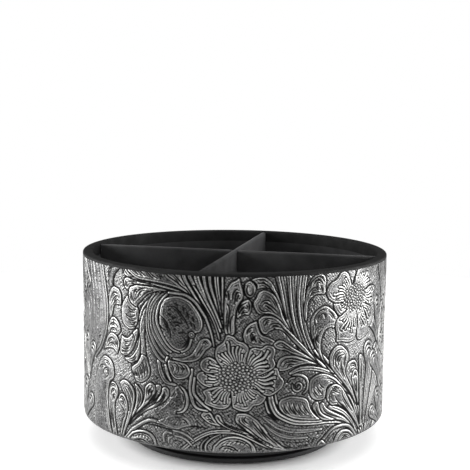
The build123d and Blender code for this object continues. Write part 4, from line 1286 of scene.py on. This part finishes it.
# Sockets of a mix of colours, which share their names with those of a mix of numbers
colour_a = 6
colour_b = 7
colour_out = 2
# Shoulders beside the cuts mixed towards pale silver: partly rubbed wear, partly a painted highlight
edge = add(leather, "Mix", {"data_type": "RGBA"}, {"Factor": burnish_and_highlight, colour_a: silver.outputs["Color"]})
edge.inputs[colour_b].default_value = colour("#d8d8d6")
tint = add(leather, "Mix", {"data_type": "RGBA"}, {"Factor": wax, colour_a: edge.outputs[colour_out]})
tint.inputs[colour_b].default_value = colour("#080808")
gloss = add(leather, "MapRange", {"To Min": 0.31, "To Max": 0.65}, {"Value": wax})
stipple = add(leather, "TexVoronoi", {"Scale": 1 / (0.85 * mm)}, {"Vector": place})
pits = add(leather, "Math", {"operation": "MULTIPLY"}, {0: stipple.outputs["Distance"], 1: matting})
bump = add(leather, "Bump", {"Strength": 0.6, "Distance": 0.16 * mm}, {"Height": grain.outputs["Fac"]})
pitted = add(
    leather,
    "Bump",
    {"Strength": 0.7, "Distance": 0.2 * mm},
    {"Height": pits.outputs["Value"], "Normal": bump.outputs["Normal"]},
)
drive(
    shader,
    {
        "Base Color": tint.outputs[colour_out],
        "Roughness": gloss.outputs["Result"],
        "Normal": pitted.outputs["Normal"],
    },
)


def dress(sheet, name, material, node, crease=40):
    """A finished mesh as a piece that turns with the drum, in place of a CAD node."""
    bmesh.ops.recalc_face_normals(sheet, faces=sheet.faces)
    mesh = bpy.data.meshes.new(name)
    sheet.to_mesh(mesh)
    sheet.free()
    mesh.shade_smooth()
    mesh.set_sharp_from_angle(angle=math.radians(crease))
    mesh.materials.append(material)
    piece = bpy.data.objects.new(name, mesh)
    bpy.context.collection.objects.link(piece)
    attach(piece, "drum")
    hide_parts(node)
    return piece


# The sheet, in four quarters; facing is the bearing of the pattern's middle, at the front of the drum
facing = -77.0
deepest = -0.85
seam_gap = 0.3
seam_half_angle = math.degrees(seam_gap / 2 / drum_radius)
quarters = (
    ("leather_back_left", 90 + seam_half_angle, 180),
    ("leather_front_left", 180, 270),
    ("leather_front_right", 270, 360),
    ("leather_back_right", 360, 450 - seam_half_angle),
)
section_points = np.array(section + section[:1])
for name, start, end in quarters:
    sheet = bmesh.new()
    bmesh.ops.create_grid(sheet, x_segments=columns // 2, y_segments=len(section), size=1.0)
    grid = np.array([vert.co for vert in sheet.verts])
    bearing = start + (end - start) * (grid[:, 0] + 1) / 2
    row = np.round((grid[:, 1] + 1) / 2 * len(section)).astype(int)
    reach = section_points[row, 0]
    height = section_points[row, 1]
    across = np.radians(bearing - facing) * drum_radius
    up = height - wall_bottom
    outside = (reach > drum_radius - 0.4 * bottom_bend) * fade(up, 0.2 * bottom_bend, bottom_bend)
    cut_here = sample(cut, across, up)
    reach = reach + outside * np.maximum(sample(relief, across, up) - cut_depth * cut_here, deepest)
    east = reach * np.cos(np.radians(bearing))
    north = reach * np.sin(np.radians(bearing))
    for vert, corner in zip(sheet.verts, np.column_stack((east, north, height)) * mm):
        vert.co = corner
    marks = {
        "wax": np.clip(2.4 * cut_here - 0.75, 0, 1),
        "burnish_and_highlight": sample(shoulder, across, up),
        "matting": sample(ground, across, up),
    }
    for attribute, amount in marks.items():
        layer = sheet.verts.layers.float.new(attribute)
        for vert, value in zip(sheet.verts, amount * outside):
            vert[layer] = value
    bmesh.ops.remove_doubles(sheet, verts=sheet.verts, dist=0.001 * mm)
    bmesh.ops.holes_fill(sheet, edges=[e for e in sheet.edges if e.is_boundary], sides=0)
    dress(sheet, name, leather, "leather_wrap", 80)

# Wall liner: a strip of black lining cloth glued inside the tube, its ends meeting at the back.
# Brushed polyester: near black and soft, with a short nap that catches a little light.
# The nap is drawn coarser than it is, so that it shows.
cloth, shader, place = surface(
    "brushed_black_lining", {"Roughness": 0.92, "Sheen Weight": 0.25, "Sheen Roughness": 0.5}
)
shader.inputs["Sheen Tint"].default_value = colour("#8a8a8c")
nap = add(cloth, "TexNoise", {"Scale": 1 / (0.4 * mm), "Detail": 5.0, "Roughness": 0.7}, {"Vector": place})
brushing = add(cloth, "TexNoise", {"Scale": 1 / (9 * mm), "Detail": 2.0}, {"Vector": place})
lie = add(
    cloth,
    "Mix",
    {"data_type": "FLOAT", "Factor": 0.4},
    {"A": brushing.outputs["Fac"], "B": nap.outputs["Fac"]},
)
shade = add(
    cloth,
    "ValToRGB",
    {"stops": ((0.35, "#1d1d1d"), (0.65, "#303031"))},
    {"Fac": lie.outputs["Result"]},
)
bump = add(cloth, "Bump", {"Strength": 0.5, "Distance": 0.15 * mm}, {"Height": nap.outputs["Fac"]})
drive(shader, {"Base Color": shade.outputs["Color"], "Normal": bump.outputs["Normal"]})

ring_steps = 240
ring_gap = 0.15


def strip_ring(outline):
    """A strip bent round the drum's axis into a ring, with its two ends facing each other at the back."""
    sheet = bmesh.new()
    half_gap = ring_gap / 2 / outline[0][0]
    corners = [sheet.verts.new((-reach * half_gap * mm, reach * mm, up * mm)) for reach, up in outline]
    edges = [sheet.edges.new((a, b)) for a, b in zip(corners, corners[1:] + corners[:1])]
    bmesh.ops.spin(
        sheet, geom=corners + edges, axis=(0, 0, 1), steps=ring_steps, angle=math.tau - 2 * half_gap
    )
    bmesh.ops.holes_fill(sheet, edges=[e for e in sheet.edges if e.is_boundary], sides=0)
    return sheet


liner_low, liner_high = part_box("wall_liner")
liner_outer = liner_high[0] / mm
liner_thickness = 0.8
liner_inner = liner_outer - liner_thickness
liner_bottom = liner_low[2] / mm
liner_top = liner_high[2] / mm
liner_section = [(liner_outer, liner_bottom), (liner_outer, liner_top)]
liner_section += [(liner_inner, liner_top), (liner_inner, liner_bottom)]
dress(strip_ring(liner_section), "wall_lining", cloth, "wall_liner")

# Rim binding: a strip folded over the top edge of the tube, over the edges of the leather and the liner.
# Black synthetic leather, matt, with a fine printed grain that is rubbed a little smoother on the crown.
leatherette, shader, place = surface("black_leatherette", {"Specular IOR Level": 0.22})
cells = add(leatherette, "TexVoronoi", {"Scale": 1 / (0.7 * mm)}, {"Vector": place})
wear = add(leatherette, "TexNoise", {"Scale": 1 / (6 * mm), "Detail": 3.0}, {"Vector": place})
shade = add(
    leatherette,
    "ValToRGB",
    {"stops": ((0.35, "#0f0f0f"), (0.7, "#1a1a1a"))},
    {"Fac": wear.outputs["Fac"]},
)
gloss = add(leatherette, "MapRange", {"To Min": 0.8, "To Max": 0.6}, {"Value": wear.outputs["Fac"]})
bump = add(
    leatherette, "Bump", {"Strength": 0.4, "Distance": 0.08 * mm}, {"Height": cells.outputs["Distance"]}
)
drive(
    shader,
    {
        "Base Color": shade.outputs["Color"],
        "Roughness": gloss.outputs["Result"],
        "Normal": bump.outputs["Normal"],
    },
)

binding_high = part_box("rim_binding")[1]
binding_outer = binding_high[0] / mm
rim_top = binding_high[2] / mm
binding_thickness = 1.0
rim_fold = 0.9
under_rim = rim_top - binding_thickness
binding_section = [(binding_outer, wall_top)]
binding_section += arc(binding_outer - rim_fold, rim_top - rim_fold, rim_fold, 0, 90)
binding_section += arc(liner_inner + rim_fold, rim_top - rim_fold, rim_fold, 90, 180)
binding_section += [(liner_inner, liner_top), (liner_outer, liner_top), (liner_outer, under_rim)]
binding_section += [(binding_outer - leather_thickness, up) for up in (under_rim, wall_top)]
dress(strip_ring(binding_section), "edge_binding", leatherette, "rim_binding")

# Divider linings: one piece of the lining cloth glued up one face of the board, over its top edge and
# down the other, and cut away where the two dividers cross.
divider_low, divider_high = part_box("long_divider_lining")
divider_half_length = divider_high[0] / mm
divider_half_thickness = divider_high[1] / mm
divider_bottom = divider_low[2] / mm
divider_top = divider_high[2] / mm
divider_middle = (divider_bottom + divider_top) / 2
slot_clearance = 0.1
slot_half_width = divider_half_thickness + slot_clearance
lining_thickness = 0.5
divider_fold = 1.2

face = [(divider_half_thickness, divider_bottom), (divider_half_thickness, divider_middle)]
face += arc(divider_half_thickness - divider_fold, divider_top - divider_fold, divider_fold, 0, 90)
lining_section = face + [(-across, up) for across, up in reversed(face)]
stations = (-divider_half_length, -slot_half_width, slot_half_width, divider_half_length)
for name, bearing, slot_goes_up in (("long_divider", 0, True), ("cross_divider", 90, False)):
    sheet = bmesh.new()
    corners = [sheet.verts.new((stations[0] * mm, across * mm, up * mm)) for across, up in lining_section]
    edges = [sheet.edges.new(ends) for ends in zip(corners, corners[1:])]
    for here, there in zip(stations, stations[1:]):
        drawn = bmesh.ops.extrude_edge_only(sheet, edges=edges)["geom"]
        corners = [v for v in drawn if isinstance(v, bmesh.types.BMVert)]
        edges = [e for e in drawn if isinstance(e, bmesh.types.BMEdge) and set(e.verts) <= set(corners)]
        bmesh.ops.translate(sheet, verts=corners, vec=((there - here) * mm, 0, 0))
    crossing = [f for f in sheet.faces if abs(f.calc_center_median().x) < slot_half_width * mm]
    slot = [f for f in crossing if (f.calc_center_median().z > divider_middle * mm) == slot_goes_up]
    bmesh.ops.delete(sheet, geom=slot, context="FACES")
    turned = mathutils.Matrix.Rotation(math.radians(bearing), 3, "Z")
    bmesh.ops.rotate(sheet, verts=sheet.verts, cent=(0, 0, 0), matrix=turned)
    piece = dress(sheet, f"{name}_cover", cloth, f"{name}_lining")
    thick = piece.modifiers.new("cloth", "SOLIDIFY")
    thick.thickness = lining_thickness * mm
    thick.offset = -1
    thick.use_even_offset = True

# Floor pads: a quarter of felt laid in each compartment, cut with round corners and a soft edge.
# Pressed wool felt: black, matt, mottled, with short fibres in every direction.
# The fibres are drawn coarser than they are, so that they show.
felt, shader, place = surface("black_felt", {"Roughness": 0.95, "Sheen Weight": 0.3, "Sheen Roughness": 0.6})
shader.inputs["Sheen Tint"].default_value = colour("#7c7c7e")
fibres = add(
    felt, "TexNoise", {"Scale": 1 / (0.3 * mm), "Detail": 6.0, "Distortion": 1.5}, {"Vector": place}
)
mottle = add(felt, "TexNoise", {"Scale": 1 / (4 * mm), "Detail": 3.0}, {"Vector": place})
mixed = add(
    felt,
    "Mix",
    {"data_type": "FLOAT", "Factor": 0.5},
    {"A": mottle.outputs["Fac"], "B": fibres.outputs["Fac"]},
)
shade = add(
    felt,
    "ValToRGB",
    {"stops": ((0.35, "#0f0f10"), (0.65, "#222223"))},
    {"Fac": mixed.outputs["Result"]},
)
bump = add(felt, "Bump", {"Strength": 0.7, "Distance": 0.25 * mm}, {"Height": fibres.outputs["Fac"]})
drive(shader, {"Base Color": shade.outputs["Color"], "Normal": bump.outputs["Normal"]})

pad_low, pad_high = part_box("floor_pad_front_right")
pad_offset = pad_low[0] / mm
pad_bottom = pad_low[2] / mm
pad_top = pad_high[2] / mm
pad_corner = 2.0
pad_edge = 0.5
pad_gap = 0.3
pad_radius = liner_inner - pad_gap
inner = pad_offset + pad_corner
outer = math.sqrt((pad_radius - pad_corner) ** 2 - inner**2)
lean = math.degrees(math.atan2(inner, outer))
pad_outline = arc(inner, inner, pad_corner, 180, 270)
pad_outline += arc(outer, inner, pad_corner, -90, lean)
pad_outline += arc(0, 0, pad_radius, lean, 90 - lean, 36)[1:-1]
pad_outline += arc(inner, outer, pad_corner, 90 - lean, 180)
pads = (("front_right", 1, -1), ("back_right", 1, 1), ("back_left", -1, 1), ("front_left", -1, -1))
for name, side_x, side_y in pads:
    sheet = bmesh.new()
    corners = [sheet.verts.new((side_x * x * mm, side_y * y * mm, pad_bottom * mm)) for x, y in pad_outline]
    under = sheet.faces.new(corners)
    raised = bmesh.ops.extrude_face_region(sheet, geom=[under])["geom"]
    top = [v for v in raised if isinstance(v, bmesh.types.BMVert)]
    bmesh.ops.translate(sheet, verts=top, vec=(0, 0, (pad_top - pad_bottom) * mm))
    rim = [e for e in raised if isinstance(e, bmesh.types.BMEdge)]
    bmesh.ops.bevel(
        sheet, geom=rim, offset=pad_edge * mm, affect="EDGES", segments=3, profile=0.5, material=-1
    )
    piece = dress(sheet, f"felt_{name}", felt, f"floor_pad_{name}", 50)

# Stage: a white floor under a white room, with a soft box on each side, one overhead and two in front.
# The floor glows a little, a painted brightness that no lamp gives, and the glow stops under the base, which
# paints the contact shadow there.
floor_material, shader, place = surface(
    "white_floor", {"Base Color": colour("#f2f2f2"), "Roughness": 0.9, "Emission Color": colour("#ffffff")}
)
outward = add(floor_material, "VectorMath", {"operation": "LENGTH"}, {"Vector": place})
painted_glow = add(
    floor_material,
    "MapRange",
    {"From Min": 0.053, "From Max": 0.064, "To Min": 0.0, "To Max": 0.42},
    {"Value": outward.outputs["Value"]},
)
drive(shader, {"Emission Strength": painted_glow.outputs["Result"]})

camera_azimuth = 13.0


def stand_at(bearing, distance, height):
    """A place round the drum, at a bearing to the right of the camera's side; lengths in metres."""
    turn = math.radians(bearing + camera_azimuth)
    return mathutils.Vector((distance * math.sin(turn), -distance * math.cos(turn), height))


floor_radius = 0.36
floor_back = 0.22
sheet = bmesh.new()
bmesh.ops.create_circle(
    sheet,
    cap_ends=True,
    segments=96,
    radius=floor_radius,
    matrix=mathutils.Matrix.Translation(stand_at(0, -floor_back, 0)),
)
mesh = bpy.data.meshes.new("floor")
sheet.to_mesh(mesh)
sheet.free()
mesh.materials.append(floor_material)
floor = bpy.data.objects.new("floor", mesh)
bpy.context.collection.objects.link(floor)

world = bpy.data.worlds.new("white_room")
world.use_nodes = True
back = world.node_tree.nodes["Background"]
back.inputs["Color"].default_value = colour("#ffffff")
seen = add(world, "LightPath", {})
strength = add(world, "MapRange", {"To Min": 0.08}, {"Value": seen.outputs["Is Camera Ray"]})
drive(back, {"Strength": strength.outputs["Result"]})
bpy.context.scene.world = world
bpy.context.scene.view_settings.view_transform = "Standard"

aim_height = 0.05


def soft_box(name, bearing, distance, height, size, power):
    """A square light that faces the drum."""
    lamp = bpy.data.lights.new(name, "AREA")
    lamp.size = size
    lamp.energy = power
    light = bpy.data.objects.new(name, lamp)
    bpy.context.collection.objects.link(light)
    light.location = stand_at(bearing, distance, height)
    aim = mathutils.Vector((0, 0, aim_height)) - light.location
    light.rotation_euler = aim.to_track_quat("-Z", "Y").to_euler()


soft_box("left_box", -90, 0.7, 0.16, 0.5, 6.9)
soft_box("right_box", 90, 0.7, 0.16, 0.5, 7.1)
soft_box("top_box", 180, 0.0, 1.2, 1.6, 11)
soft_box("high_box", 0, 0.6, 0.6, 0.25, 0.5)
soft_box("low_box", 0, 0.65, 0.1, 0.3, 1.0)

camera_distance = 584.078 * mm
camera_height = 184.96 * mm
camera_pitch = 7.566
camera_roll = 0.649
lens = bpy.data.cameras.new("camera")
lens.lens = 85.1
camera = bpy.data.objects.new("camera", lens)
bpy.context.collection.objects.link(camera)
look = mathutils.Matrix.Rotation(math.radians(camera_azimuth), 4, "Z")
look @= mathutils.Matrix.Rotation(math.radians(90 - camera_pitch), 4, "X")
look @= mathutils.Matrix.Rotation(math.radians(camera_roll), 4, "Z")
look.translation = stand_at(0, camera_distance, camera_height)
camera.matrix_world = look
bpy.context.scene.camera = camera
